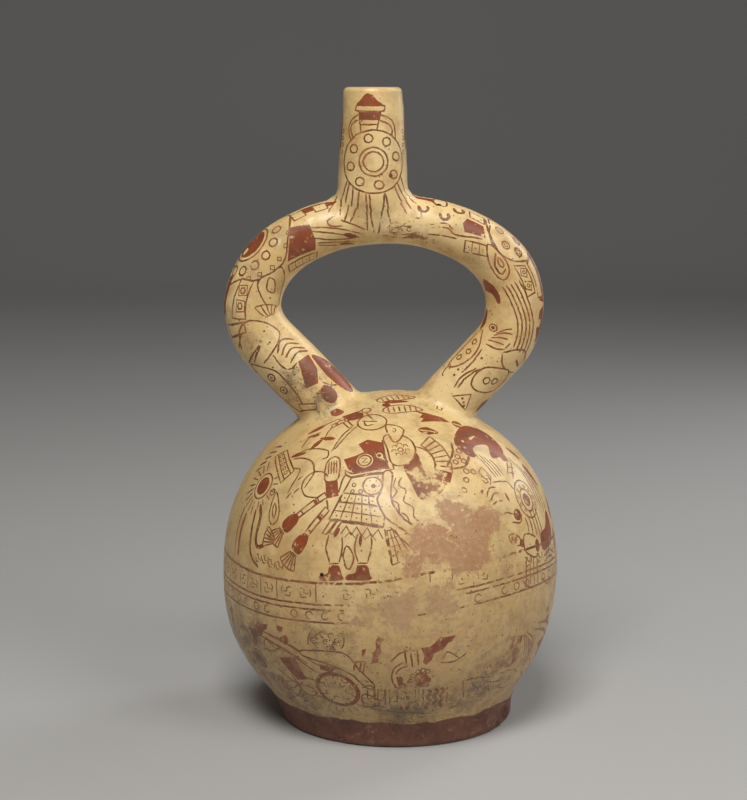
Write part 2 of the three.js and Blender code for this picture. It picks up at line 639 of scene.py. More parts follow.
def around(x, y, radius, count=8, start=0, squash=1):
    turns = [math.radians(start) + 2 * math.pi * step / count for step in range(count)]
    return [(x + radius * math.cos(turn), y + squash * radius * math.sin(turn)) for turn in turns]


def circle(spot, x, y, radius, width=brush_width, squash=1):
    stroke(spot, around(x, y, radius, squash=squash), width, True)


def disc(spot, x, y, radius, kind=red_kind, squash=1):
    fill(spot, around(x, y, radius, squash=squash), kind)


def dot(spot, x, y, radius=0.55):
    spot["marks"].append({
        "points": spot["lay"](around(x, y, radius, 5, brush.uniform(0, 70))).tolist(),
        "faces": [[0, 1, 2, 3, 4]],
        "kind": line_kind,
    })


def between(first, second, share):
    return (first[0] + (second[0] - first[0]) * share, first[1] + (second[1] - first[1]) * share)


def cells(spot, corners, columns, rows, dotted=True, frame=True):
    """A four-cornered panel ruled into cells, from its upper left corner clockwise."""
    upper_left, upper_right, lower_right, lower_left = corners
    if frame:
        panel(spot, corners)
    for row in range(1, rows):
        share = row / rows
        ends = [between(upper_left, lower_left, share), between(upper_right, lower_right, share)]
        stroke(spot, ends, 0.6, straight=True)
    for column in range(1, columns):
        share = column / columns
        ends = [between(upper_left, upper_right, share), between(lower_left, lower_right, share)]
        stroke(spot, ends, 0.6, straight=True)
    if dotted:
        for row in range(rows):
            for column in range(columns):
                across, down = (column + 0.5) / columns, (row + 0.5) / rows
                left = between(upper_left, lower_left, down)
                right = between(upper_right, lower_right, down)
                dot(spot, *between(left, right, across), 0.42 / spot["scale"])


def arc_line(radius, first, last, count=7):
    turns = np.radians(np.linspace(first, last, count))
    return [(radius * math.cos(turn), radius * math.sin(turn)) for turn in turns]


def fan(spot, inner, outer, first, last, count):
    """Feathers spread between two arcs."""
    turns = np.linspace(first, last, count + 1)
    fill(spot, arc_line(outer, first, last) + arc_line(inner, last, first), slip_kind, True)
    for turn in turns:
        stroke(spot, arc_line(inner, turn, turn, 1) + arc_line(outer, turn, turn, 1), 0.9, straight=True)
    strokes(spot, arc_line(inner, first, last), arc_line(outer, first, last))


def drop(spot, length, width, inner=True):
    """A hanging tongue, round below and narrow above, with a smaller one inside it."""
    low = -length
    shape(spot, [(0, 0), (width * 0.45, low * 0.5), (width * 0.42, low * 0.85), (0, low),
          (-width * 0.42, low * 0.85), (-width * 0.45, low * 0.5)])
    if inner:
        stroke(spot, [(0, low * 0.35), (width * 0.2, low * 0.6), (0, low * 0.8),
               (-width * 0.2, low * 0.6)], closed=True)


def leaf(spot, length, width, parted=True):
    """A red leaf or dart along x, parted by a line of bare slip."""
    fill(spot, [(0, 0), (length * 0.35, width / 2), (length * 0.8, width * 0.3), (length, 0),
         (length * 0.8, -width * 0.3), (length * 0.35, -width / 2)])
    if parted:
        fill(spot, [(length * 0.1, 0.35), (length * 0.9, 0.2), (length * 0.9, -0.2),
             (length * 0.1, -0.35)], slip_kind, True)


def zigzag(spot, start, end, teeth, height, width=brush_width):
    points = []
    for tooth in range(2 * teeth + 1):
        x, y = between(start, end, tooth / (2 * teeth))
        points.append((x, y + (height if tooth % 2 else 0)))
    stroke(spot, points, width, straight=True)


def step_key(spot, size=1.0):
    strokes(part_of(spot, 0, 0, scale=size), [(-2.6, 1.6), (-0.6, 1.6), (-0.6, -0.2), (1.4, -0.2)],
            [(-2.6, 0.0), (-1.8, -0.4), (-2.4, -1.8), (-0.8, -2.0), (0.6, -1.6)], [(1.6, 1.8), (2.4, 1.2),
            (2.0, -1.6)], width=0.65)


def beads(spot, radius, first, last, count, size):
    for x, y in arc_line(radius, first, last, count):
        shape(spot, around(x, y, size, 7))


def mace(spot, length, feathered=True):
    """A club along x: a bound shaft, a red head and, on some, feathers beyond it."""
    panel(spot, [(0, 1.3), (length, 1.1), (length, -1.1), (0, -1.3)])
    for x in (0.25, 0.32, 0.84):
        stroke(spot, [(length * x, 1.2), (length * x, -1.2)])
    red_block(spot, [(length * 0.32, 1.1), (length * 0.4, 1.1), (length * 0.4, -1.1),
              (length * 0.32, -1.1)])
    fill(spot, [(length, 1.4), (length + 4, 3.0), (length + 8.5, 2.4), (length + 8, -2.6),
         (length + 3.5, -3.0), (length, -1.4)])
    if feathered:
        fan(part_of(spot, length + 6.5, 0), 4.0, 10.0, -28, 28, 5)
        stroke(spot, [(length + 9.5, 2.2), (length + 10, -2.4)])


def open_hand(spot):
    """A raised hand on a red wristband, fingers up."""
    shape(spot, [(-2.6, 0), (-3.2, 4.0), (-3.0, 8.5), (-1.2, 11.5), (1.2, 12.2), (3.0, 10.0), (3.4, 5.0),
          (2.4, 0)])
    for x in (-1.7, -0.5, 0.7, 1.9):
        stroke(spot, [(x, 3.2), (x - 0.1, 9.8)], 0.7)
    red_block(spot, [(-2.9, -0.2), (2.6, -0.4), (3.2, -7.6), (-2.4, -8.2)])


def walking_leg(spot, lift=0):
    """A leg from the knee down, with a red foot that points left."""
    strokes(spot, [(-1.8, 0), (-2.9, -6), (-1.4, -11.6)], [(4.0, -1), (4.2, -6), (2.8, -11.4)])
    stroke(spot, [(-1.5, -12.2), (2.9, -12.0)], 0.7)
    fill(spot, [(-1.5, -13.2), (2.8, -13.0), (3.9, -16.6), (4.3, -19), (-6.4, -19.2), (-5.8, -16.8),
         (-2.4, -16.2)])


def striding_figure(spot):
    """A figure that strides left in a ruled tunic, with a disc in its headdress."""
    fill(spot, [(11.5, 19), (14.2, 23), (16.3, 27.7), (19, 22), (20.4, 18.5), (25, 19.6), (25.2, 23.7),
         (31, 24), (30.4, 15.3), (27.6, 8.5), (22, 4.8), (18.6, 5.7), (14.5, 13)])
    plume = part_of(spot, 12, 20.5)
    fan(plume, 13.2, 20.5, -2, 62, 7)
    red_block(plume, arc_line(20.5, -22, -2) + arc_line(13.2, -2, -22))
    stroke(spot, [(16, 31.1), (20.4, 29.8), (24, 25.7), (25.2, 19.6)])
    red_block(spot, [(-14.2, 22.6), (-9, 24), (-5.6, 26), (-8.6, 30.5), (-5.2, 33.2), (1.2, 31.6),
              (4.0, 24), (5.4, 18.4), (0, 16.6), (-8, 14.6), (-11.7, 17.2)])
    panel(spot, [(1.4, 33.0), (3.4, 33.0), (5.0, 26), (7.6, 17.6), (5.6, 17.0), (3.4, 24)])
    disc(spot, -5.0, 21.4, 3.6, slip_kind)
    circle(spot, -5.0, 21.4, 2.8)
    stroke(spot, [(-6.6, 22.4), (-4.2, 22.6), (-5.8, 20.4), (-3.4, 20.6)], 0.8, straight=True)
    shape(spot, [(0.4, 26.2), (2.4, 25.6), (3.0, 23.4), (5.0, 20.6), (2.2, 22.2), (-0.4, 22.8),
          (-0.9, 24.6)])
    disc(spot, 0.9, 24.3, 0.95)
    shape(spot, [(-13.0, 16.9), (-10.6, 13.4), (-2, 14.8), (5.6, 16.2), (5.3, 18.0), (-2, 16.4),
          (-9.6, 14.9)])
    shape(spot, [(1.8, 35.4), (8.5, 37), (13.2, 35), (15.7, 30.4), (15.8, 26), (13.9, 21.6), (10.6, 19.6),
          (6.4, 20.4), (4.3, 27)])
    for x, y in around(9.6, 28.2, 3.0, 7):
        stroke(spot, around(x, y, 1.15, 5)[:4], 0.6)
    circle(spot, 9.6, 28.2, 1.2, 0.6)
    panel(spot, [(-9.8, 12.8), (-18.2, -5.2), (4.9, -8.4), (5.2, -3.4), (1.6, 3.6), (6.2, 15.6)])
    cells(spot, [(-12.4, 6.0), (0.6, 4.4), (4.9, -8.3), (-18.1, -5.2)], 5, 3, frame=False)
    strokes(spot, [(-12.4, 6.0), (0.6, 4.4)], [(-14.3, 2.2), (2.0, 0.4)], [(-18.1, -5.2), (4.9, -8.4)])
    stroke(spot, [(-18.1, -5.2), (-6, -7.0), (4.9, -8.4)], 1.5)
    for x, y in ((-8.4, 9.6), (-5.4, 6.6), (4.2, 9.4), (4.6, 12.2), (-8.8, 6.6)):
        circle(spot, x, y, 0.8, 0.55)
    shape(spot, around(-0.6, 9.2, 4.0))
    disc(spot, -0.3, 9.2, 1.1)
    for x, y in around(-0.5, 9.2, 2.6, 6):
        dot(spot, x, y, 0.35)
    shape(spot, [(3.6, 16.0), (3.4, 8), (1.8, 2.8), (5.5, -3.9), (12, -8.4), (17.9, -11.4), (19.6, -8.6),
          (13.4, -4.4), (9.6, -0.2), (7.2, 5.0), (7.0, 15.6)])
    strokes(spot, [(17.4, -11.4), (19.0, -13.4), (20.6, -11.2)], [(18.4, -9.0), (20.4, -6.6),
            (22.2, -6.2), (21.6, -9.2)], [(19.6, -12.8), (22.4, -10.2)], [(18.0, -10.6), (21.8, -7.4)],
            width=0.9)
    strokes(spot, [(8.8, 13.6), (7.9, 9.4), (9.6, 7.6), (7.7, 3.4), (10.4, 2.0), (11.2, -2.2)],
            [(11.2, 14.0), (10.0, 10.2), (13.4, 8.0), (12.6, 3.2), (16.6, 1.0), (17.2, -3.2),
            (20.2, -5.4)], [(12.0, -1.8), (14.6, -3.4), (15.6, -6.4)], width=0.7)
    strokes(spot, [(-14.8, 6.6), (-12.9, 14.2), (-10.0, 13.2)], [(-13.9, 3.8), (-17.2, -3.2)])
    open_hand(part_of(spot, -18.4, 12.4, 4))
    strokes(spot, [(-19.8, 3.6), (-18.8, -1.6)], [(-14.4, 4.2), (-13.2, 2.2)])
    for x in (-17.6, -14.6):
        panel(spot, [(x, -5.8), (x + 2.2, -6.2), (x - 1.6, -11.4), (x - 3.4, -11.0)])
    zigzag(spot, (-12.8, -11.4), (5.0, -13.2), 4, 3.6, 0.9)
    zigzag(spot, (-11.0, -12.8), (2.2, -14.0), 3, 2.4, 0.6)
    walking_leg(part_of(spot, -16.2, -11.6))
    walking_leg(part_of(spot, -3.8, -11.4))
    leaf(part_of(spot, -15.8, -13.0, 60), 5.0, 1.6, False)
    leaf(part_of(spot, -4.4, -17.0, 88), 5.5, 1.5, False)
    cells(spot, [(6.4, -9.6), (9.6, -9.0), (17.2, -20.0), (9.4, -23.8)], 3, 4, False)
    strokes(spot, [(5.4, -9.0), (9.2, -23.6)], [(7.6, -8.2), (19.4, -18.4)])
    stroke(spot, [(-10.2, -16.4), (-11.6, -21), (-9.4, -26.4), (-6.9, -22), (-8.6, -17.8)], closed=True)


def long_bird(spot):
    """A bird's head with a long bent beak and a crest."""
    strokes(spot, [(-12, -9), (-6, -2.6), (0.6, 0.2), (5, 0.8)], [(-9.6, -9.4), (-3.4, -7.0), (2.6, -7.2),
            (6.6, -10.0), (8.0, -13), (8.0, -19)], [(-5, -13), (0.0, -13), (1.0, -24)],
            [(5, 0.8), (7.4, -2), (5.6, -4.4)])
    leaf(part_of(spot, -12, -9, 34), 9, 2.0, False)
    for x, y in ((3.4, -14), (5.4, -20), (2.8, -23)):
        stroke(spot, [(x, y), (x - 1.2, y - 3.2)])


def shield(spot, radius):
    disc(spot, 0, 0, radius + 0.4)
    disc(spot, 0, 0, radius - 1.5, slip_kind)
    for x, y in around(0, 0, radius * 0.5, 7) + around(0, 0, radius * 0.78, 11, 20):
        stroke(spot, around(x, y, radius * 0.13, 5, brush.uniform(0, 200))[:4], 0.6)
    for turn in range(200, 345, 14):
        stroke(spot, arc_line(radius + 1.6, turn, turn, 1) + arc_line(radius + 4.8, turn, turn, 1),
               straight=True)


# The painting
# A cap with a beaded disc on the spout, front and back, and its feathers over the arch.
for spout_turn in (2, 182, -178):
    spout = at_neck(spout_turn, 252)
    strokes(spout, [(-7.0, 20.3), (-10.6, 17.6), (-11.9, 13.8), (-9.9, 8.3)], [(-6.6, 18.0), (-9.6, 16.4),
            (-10.7, 13.8), (-8.9, 10.0)], [(3.1, 20.3), (8.2, 17.8), (9.9, 14.3), (9.6, 8.3)],
            [(2.6, 17.8), (7.0, 16.0), (8.4, 13.3), (7.9, 10.5)])
    panel(spout, [(-6.2, 19.0), (2.6, 19.0), (1.1, 12.8), (-5.4, 12.8)])
    stroke(spout, [(-5.8, 15.9), (1.8, 15.9)])
    red_block(spout, [(-7.0, 22.4), (3.8, 22.4), (2.8, 17.8), (-6.5, 17.8)])
    shape(spout, [(-8.4, 23.3), (-7.6, 24.1), (4.2, 24.1), (4.9, 23.2), (4.2, 21.7), (-7.6, 21.7)])
    fill(spout, [(-8.0, 24.0), (-6.4, 26.2), (-4.6, 28.4), (-2.4, 29.5), (-0.4, 28.6), (1.6, 26.4),
         (4.2, 24.0)])
    shape(spout, around(0, 0, 14.0, 12, squash=0.97))
    circle(spout, 0, 0, 5.9, squash=1.05)
    circle(spout, 0, 0, 4.1, squash=1.05)
    for x, y in around(0, 0, 10.2, 8, 12):
        circle(spout, x, y, 1.9)
    disc(spout, 7.1, -6.0, 1.1)
    facing = 1 if spout_turn == 2 else -1
    hem = at_tube(-4.6, 75.6 * facing)
    for patch, drift, rise, bow in ((spout, 0, 0, 0), (hem, 0.7, 22, 0.013)):
        for lines in (
            [(-11.6, -8.4), (-13.6, -14), (-16.4, -22)], [(-10.4, -9.2), (-11.6, -15), (-12.8, -23.6)],
            [(-8.4, -11.0), (-9.0, -18), (-11.4, -26)], [(-5.6, -12.8), (-6.6, -20), (-9.4, -26.4)],
            [(-3.0, -13.8), (-2.6, -22), (-2.6, -29.6)], [(-1.6, -14), (-0.8, -24), (1.6, -33.4)],
            [(4.2, -13.4), (3.6, -23), (2.2, -33.4)], [(4.4, -13.4), (6.4, -21), (8.8, -28.4)],
            [(8.8, -10.8), (12.4, -18), (16.4, -24.4)], [(10.4, -9.4), (14.4, -16), (18.6, -22.6)],
            [(12.6, -6.6), (16.2, -14), (20.6, -19.6)],
        ):
            stroke(patch, [(x + drift - 0.58 * bow * x * x, y + rise + bow * x * x) for x, y in lines])
    strokes(hem, [(-13.2, -1.6), (-8.8, -4.0), (-2.8, -7.0)], [(8.8, -5.8), (12.4, -5.4), (16.4, -2.0)],
            [(-16.4, 0.6), (-19, -1), (-17.6, -3.6), (-12.8, -4.4)], [(18.6, 0.0), (21.4, 0.6),
            (20.6, 3.2)])
for turn, flip in ((74, 1), (-74, -1), (106, -1), (-106, 1)):
    wing = at_neck(turn, 262, 0, 1, flip)
    leaf(part_of(wing, 0.5, -6, 86), 19, 3.4, False)
    for y in (-4, -1, 2, 5):
        circle(wing, -2.2, y - 2, 0.9, 0.6)
    stroke(wing, [(2.6, -12), (3.2, -3), (1.6, 8)])


def ring_spots(*pairs):
    """Places on the stirrup, on the side that is being painted: turn_sign 1 is the front."""
    return tube_spots(*[(s, turn * turn_sign) for s, turn in pairs])


# The arch, left: a great beaded disc, a red block, long arms, a tongue, a panel and a crouched knee
for turn_sign in (1, -1):
    sun = at_tube(-54, 24 * turn_sign)
    red_block(tube_skin, ring_spots((-39, 58), (-31, 70), (-31, 104), (-33, 126), (-48, 114), (-42, 84)))
    cells(tube_skin, ring_spots((-49, 122), (-33, 134), (-35, 158), (-51, 138)), 4, 1)
    shape(tube_skin, ring_spots((-70, 20), (-66, 60), (-64, 87), (-57, 106), (-49, 108), (-43, 84),
          (-38, 48), (-38, 10), (-50, -8), (-64, 0)))
    beads(sun, 11.2, 228, 385, 6, 1.9)
    for s, turn in ((-44, 86), (-50, 98), (-55, 100), (-61, 88), (-65, 72), (-40, 66)):
        spot = at_tube(s, turn * turn_sign)
        stroke(spot, [(-0.9, -0.7), (0.9, -0.8), (0.8, 0.9), (-0.8, 0.8)], 0.65, True, True)
    disc(sun, 0, 0, 7.6, line_kind)
    disc(sun, 0, 0, 6.9, slip_kind)
    disc(sun, 0, 0, 5.9)
    strokes(tube_skin, ring_spots((-32, 76), (-20, 96), (-9, 116)), ring_spots((-32, 84), (-22, 104),
            (-13, 122)), ring_spots((-32, 98), (-24, 116), (-14, 126)), ring_spots((-31, 112), (-22, 126),
            (-12, 138)), ring_spots((-31, 118), (-22, 136), (-14, 146)), width=0.75)
    leaf(at_tube(-18, 110 * turn_sign, -14), 8, 2.8, False)
    leaf(at_tube(-21, 134 * turn_sign, -4), 8, 2.2, False)
    red_block(tube_skin, ring_spots((-38, 34), (-32, 40), (-24, 42), (-18, 36), (-22, 20), (-32, 14)))
    for s in (-36, -27):
        panel(tube_skin, ring_spots((s, 48), (s + 5, 46), (s + 4, 22), (s - 1, 24)))
    shape(tube_skin, ring_spots((-64, 92), (-70, 108), (-77, 136), (-74, 158), (-66, 156), (-56, 140),
          (-52, 114), (-57, 106)))
    stroke(tube_skin, ring_spots((-60, 108), (-60, 122), (-66, 134), (-66, 116)), closed=True)
    panel(tube_skin, ring_spots((-66, 58), (-65, 84), (-81, 79), (-80, 48)))
    panel(tube_skin, ring_spots((-82, 28), (-82, 74), (-86, 72), (-86, 26)))
    red_block(tube_skin, ring_spots((-67, 14), (-67, 30), (-79, 22), (-79, 6)))
    for s in (-70, -76):
        spot = at_tube(s, 69 * turn_sign)
        circle(spot, 0, 0, 1.2)
        stroke(spot, [(-2, -1.9), (2, -2.1), (2.1, 1.9), (-1.9, 2.1)], 0.65, True, True)
    fan(at_tube(-87, 132 * turn_sign, 0, 1, turn_sign), 5, 13, 100, 150, 4)
    stroke(tube_skin, ring_spots((-91, 40), (-84, 62), (-82, 88), (-86, 116), (-94, 128), (-98, 108),
           (-100, 62)))
    strokes(tube_skin, ring_spots((-96, 30), (-93, 84), (-97, 46)), ring_spots((-86, 60), (-90, 36)))
    shape(tube_skin, ring_spots((-97, 30), (-101, 54), (-108, 70), (-124, 62), (-127, 40), (-112, 24)))
    for s in (-107, -115):
        circle(at_tube(s, 50 * turn_sign), 0, 0, 1.8)
        dot(at_tube(s, 50 * turn_sign), 0, 0, 0.8)
    strokes(tube_skin, ring_spots((-118, 14), (-104, 18), (-97, 30)), ring_spots((-101, 96), (-98, 118),
            (-102, 140)), ring_spots((-103, 98), (-101, 120), (-105, 142)), ring_spots((-105, 100),
            (-104, 122), (-108, 144)), ring_spots((-108, 100), (-107, 124), (-110, 146)),
            ring_spots((-100, 88), (-106, 84), (-110, 92), (-110, 108)))
    red_block(tube_skin, ring_spots((-110, 112), (-111, 140), (-118, 132), (-123, 112), (-121, 88)))
    fill(tube_skin, ring_spots((-112, 144), (-116, 162), (-122, 176), (-133, 177), (-137, 160),
         (-134, 146), (-129, 140), (-123, 137), (-117, 139)))
    fill(tube_skin, ring_spots((-125, 112), (-128, 126), (-133, 124), (-134, 106), (-129, 98)))
    panel(tube_skin, ring_spots((-124, 52), (-129, 82), (-131, 74), (-127, 46)))
    strokes(tube_skin, ring_spots((-126, 96), (-129, 118), (-127, 136)), ring_spots((-124, 120),
            (-128, 130), (-130, 144)))
    for s, turn in ((-92, 88), (-95, 100), (-89, 104), (-104, 70), (-113, 90), (-126, 104), (-128, 112),
    (-70, 128)):
        dot(at_tube(s, turn * turn_sign), 0, 0)

    # The arch, right: the same parts in another order, with hanging straps and a scalloped shield
    red_block(tube_skin, ring_spots((12, 8), (14, 22), (20, 28), (22, 40), (26, 30), (25, 10)))
    shape(tube_skin, ring_spots((21, 4), (21, 30), (24, 36), (26, 30), (25, 4)))
    for s, turn in ((17, 54), (26, 62), (31, 34)):
        stroke(at_tube(s, turn * turn_sign), [(-1.8, 1.4), (-1.6, -1.2), (0.2, -2.0), (1.8, -0.8),
               (1.6, 1.6)], 1.5)
    strokes(tube_skin, ring_spots((17, 96), (27, 78), (31, 86)), ring_spots((18, 102), (28, 86), (33, 94),
            (44, 78)), ring_spots((20, 110), (34, 100)), ring_spots((2, 104), (6, 92), (11, 100),
            (16, 92), (18, 98)), ring_spots((3, 112), (9, 120), (15, 112)), ring_spots((0, 122), (8, 130),
            (17, 124)))
    for s, turn in ((4, 106), (8, 110), (12, 106), (6, 118), (14, 120)):
        circle(at_tube(s, turn * turn_sign), 0, 0, 1.0, 0.6)
    leaf(at_tube(10, 128 * turn_sign, 10), 9, 2.6, False)
    fill(tube_skin, ring_spots((15, 108), (21, 112), (20, 126), (14, 124)))
    red_block(tube_skin, ring_spots((35, 50), (42, 52), (45, 72), (36, 82), (34, 66)))
    panel(tube_skin, ring_spots((35, 22), (41, 26), (42, 46), (36, 44)))
    cells(tube_skin, ring_spots((38, 96), (47, 84), (50, 100), (40, 120)), 3, 1)
    shape(tube_skin, ring_spots((43, 10), (44, 40), (46, 62), (53, 78), (59, 68), (62, 40), (62, 8),
          (52, -4)))
    for s, turn in ((48, 34), (53, 56), (58, 44), (55, 22)):
        spot = at_tube(s, turn * turn_sign)
        circle(spot, 0, 0, 1.7)
        stroke(spot, [(-0.7, -0.7), (0.7, -0.8), (0.7, 0.7), (-0.7, 0.7)], 0.55, True, True)
    stroke(tube_skin, ring_spots((41, 24), (44, 52), (48, 72), (52, 82)), 1.1)
    shape(tube_skin, ring_spots((47, 80), (52, 104), (59, 112), (64, 104), (62, 86), (55, 78)))
    stroke(tube_skin, ring_spots((52, 84), (56, 102), (61, 102), (60, 88)), 1.0)
    stroke(tube_skin, ring_spots((54, 86), (57, 95), (59, 88)), 0.8, closed=True)
    panel(tube_skin, ring_spots((61, 72), (63, 50), (73, 46), (74, 68)))
    for s in (65, 70):
        stroke(at_tube(s, 59 * turn_sign), [(-1.5, -1.4), (1.4, -1.6), (1.5, 1.5), (-1.6, 1.4)], 0.65,
               True, True)
        circle(at_tube(s, 59 * turn_sign), 0, 0, 0.7, 0.5)
    red_block(tube_skin, ring_spots((60, 10), (62, 34), (76, 34), (77, 12)))
    panel(tube_skin, ring_spots((62, 24), (63, 42), (75, 38), (75, 22)))
    for offset in (0, 9, 18, 27, 36):
        stroke(tube_skin, ring_spots((67, 112 - offset), (76, 100 - offset), (85, 84 - offset),
               (95, 74 - offset)))
    red_block(tube_skin, ring_spots((78, 14), (80, 34), (86, 36), (92, 20), (88, 8)))
    disc(at_tube(84, 30 * turn_sign), 0, 0, 1.6, slip_kind)
    fill(tube_skin, ring_spots((58, 146), (66, 128), (75, 122), (76, 130), (70, 140), (66, 160)))
    fill(tube_skin, ring_spots((80, 164), (92, 158), (98, 166), (88, 176)))
    shape(at_tube(91, 132 * turn_sign), around(0, 0, 2.3))
    disc(at_tube(91, 132 * turn_sign), 0, 0, 1.3)
    strokes(tube_skin, ring_spots((93, 120), (89, 104), (88, 92)), ring_spots((95, 122), (91, 106),
            (90, 88)), ring_spots((97, 124), (94, 108), (93, 92)), ring_spots((99, 126), (97, 108),
            (96, 94)), ring_spots((101, 124), (100, 106), (98, 90), (94, 84)))
    stroke(tube_skin, ring_spots((99, 86), (95, 66), (94, 42), (97, 26)))
    stroke(tube_skin, ring_spots((99, 86), (103, 70), (104, 48), (103, 26)))
    stroke(tube_skin, ring_spots((98, 50), (100, 30)), 1.2)
    shape(tube_skin, ring_spots((98, 160), (101, 140), (106, 128), (112, 128), (118, 140), (119, 160)))
    for s, turn in ((104, 148), (109, 142), (114, 150)):
        circle(at_tube(s, turn * turn_sign), 0, 0, 1.3)
    shape(tube_skin, ring_spots((104, 40), (105, 66), (110, 94), (118, 92), (119, 66), (113, 30)))
    circle(at_tube(113, 70 * turn_sign), 0, 0, 1.6)
    circle(at_tube(111, 54 * turn_sign), 0, 0, 1.5)
    strokes(tube_skin, ring_spots((111, 98), (118, 106), (124, 104)), ring_spots((112, 104), (119, 114),
            (125, 110)), ring_spots((118, 120), (112, 118), (104, 122)), ring_spots((121, 146),
            (119, 156), (124, 154), (125, 146)))
    stroke(tube_skin, ring_spots((122, 74), (128, 100), (129, 58)), closed=True, straight=True)
    for s, turn in ((127, 74), (126, 82), (128, 68), (121, 128), (118, 130), (107, 110)):
        dot(at_tube(s, turn * turn_sign), 0, 0, 0.7)
    fill(tube_skin, ring_spots((119, 20), (122, 34), (127, 26), (124, 12)))

# The chamber's upper half: figures that stride and fly, with weapons and birds between them
striding_figure(at_chamber(-6.5, 32))
for azimuth, elevation, spin, length in ((-25.4, 35, 222, 15), (-23.4, 30.5, 237, 14)):
    mace(at_chamber(azimuth, elevation, spin), length)


def crested_figure(left):
    """A figure with a red disc at its middle, feathers round it, a panel of rings and a bird above."""
    disc(left, -0.4, 5.2, 6.4, line_kind)
    disc(left, -0.4, 5.2, 5.6, slip_kind)
    disc(left, -0.4, 5.2, 4.3)
    for turn in range(120, 265, 16):
        stroke(part_of(left, -0.4, 5.2), arc_line(7.4, turn, turn, 1) + arc_line(13.5, turn + 5, turn + 5,
               1))
    for turn in range(-70, 60, 22):
        stroke(part_of(left, -0.4, 5.2), arc_line(7.0, turn, turn, 1) + arc_line(10.5, turn, turn, 1),
               0.7)
    panel(left, [(-6.4, 19.2), (-1.0, 24.0), (14.2, 16.4), (11.0, 9.2)])
    stroke(left, [(-4.8, 20.6), (11.8, 11.2)], 0.7)
    stroke(left, [(-2.6, 22.6), (13.4, 14.6)], 0.7)
    for share in (0.12, 0.3, 0.48, 0.66, 0.84):
        circle(left, *between((-3.7, 21.5), (12.5, 12.9), share), 1.0, 0.6)
    long_bird(part_of(left, 17.6, 30.4))
    stroke(left, around(29.4, 14.8, 6.4, 10, 60)[:8])
    stroke(left, [(4.2, -2.6), (7.9, -7.3), (9.4, -16.6), (13.0, -19.8), (17.4, -17.2)], 2.0)
    stroke(left, [(2.4, -5.0), (5.0, -17.5), (8.7, -24.5), (15.8, -28.0)], 1.5)
    stroke(left, [(-4.8, -8.4), (-6.0, -17.8), (-4.3, -27.3)], 1.8)
    stroke(left, [(-8.8, -6.0), (-10.4, -15.0), (-9.4, -25.0)], 1.1)
    drop(part_of(left, 11.4, 5.0, 28), 15, 6.2)
    circle(left, 9.0, 4.2, 1.5)
    fan(part_of(left, 24.5, -14.5), 3.0, 9.5, 150, 205, 5)
    for x in (13, 17.6, 22, 26.6):
        step_key(part_of(left, x + 2, -24.4 + 0.3 * (x % 3)), 0.8)
    for x, y in ((22, 6), (25, 3), (19, -2), (27, 0), (24, -6), (8, -11), (31, 27), (-8, 27), (3, 30)):
        dot(left, x, y, 0.5)
    leaf(part_of(left, 20, 38, 200), 9, 2.4, False)
    leaf(part_of(left, 10, 37, 215), 7, 2.0, False)
    for y in range(5):
        stroke(left, [(-12 + y, 13 + 3 * y), (-16 + 0.6 * y, 10 + 3.4 * y)], 1.2)


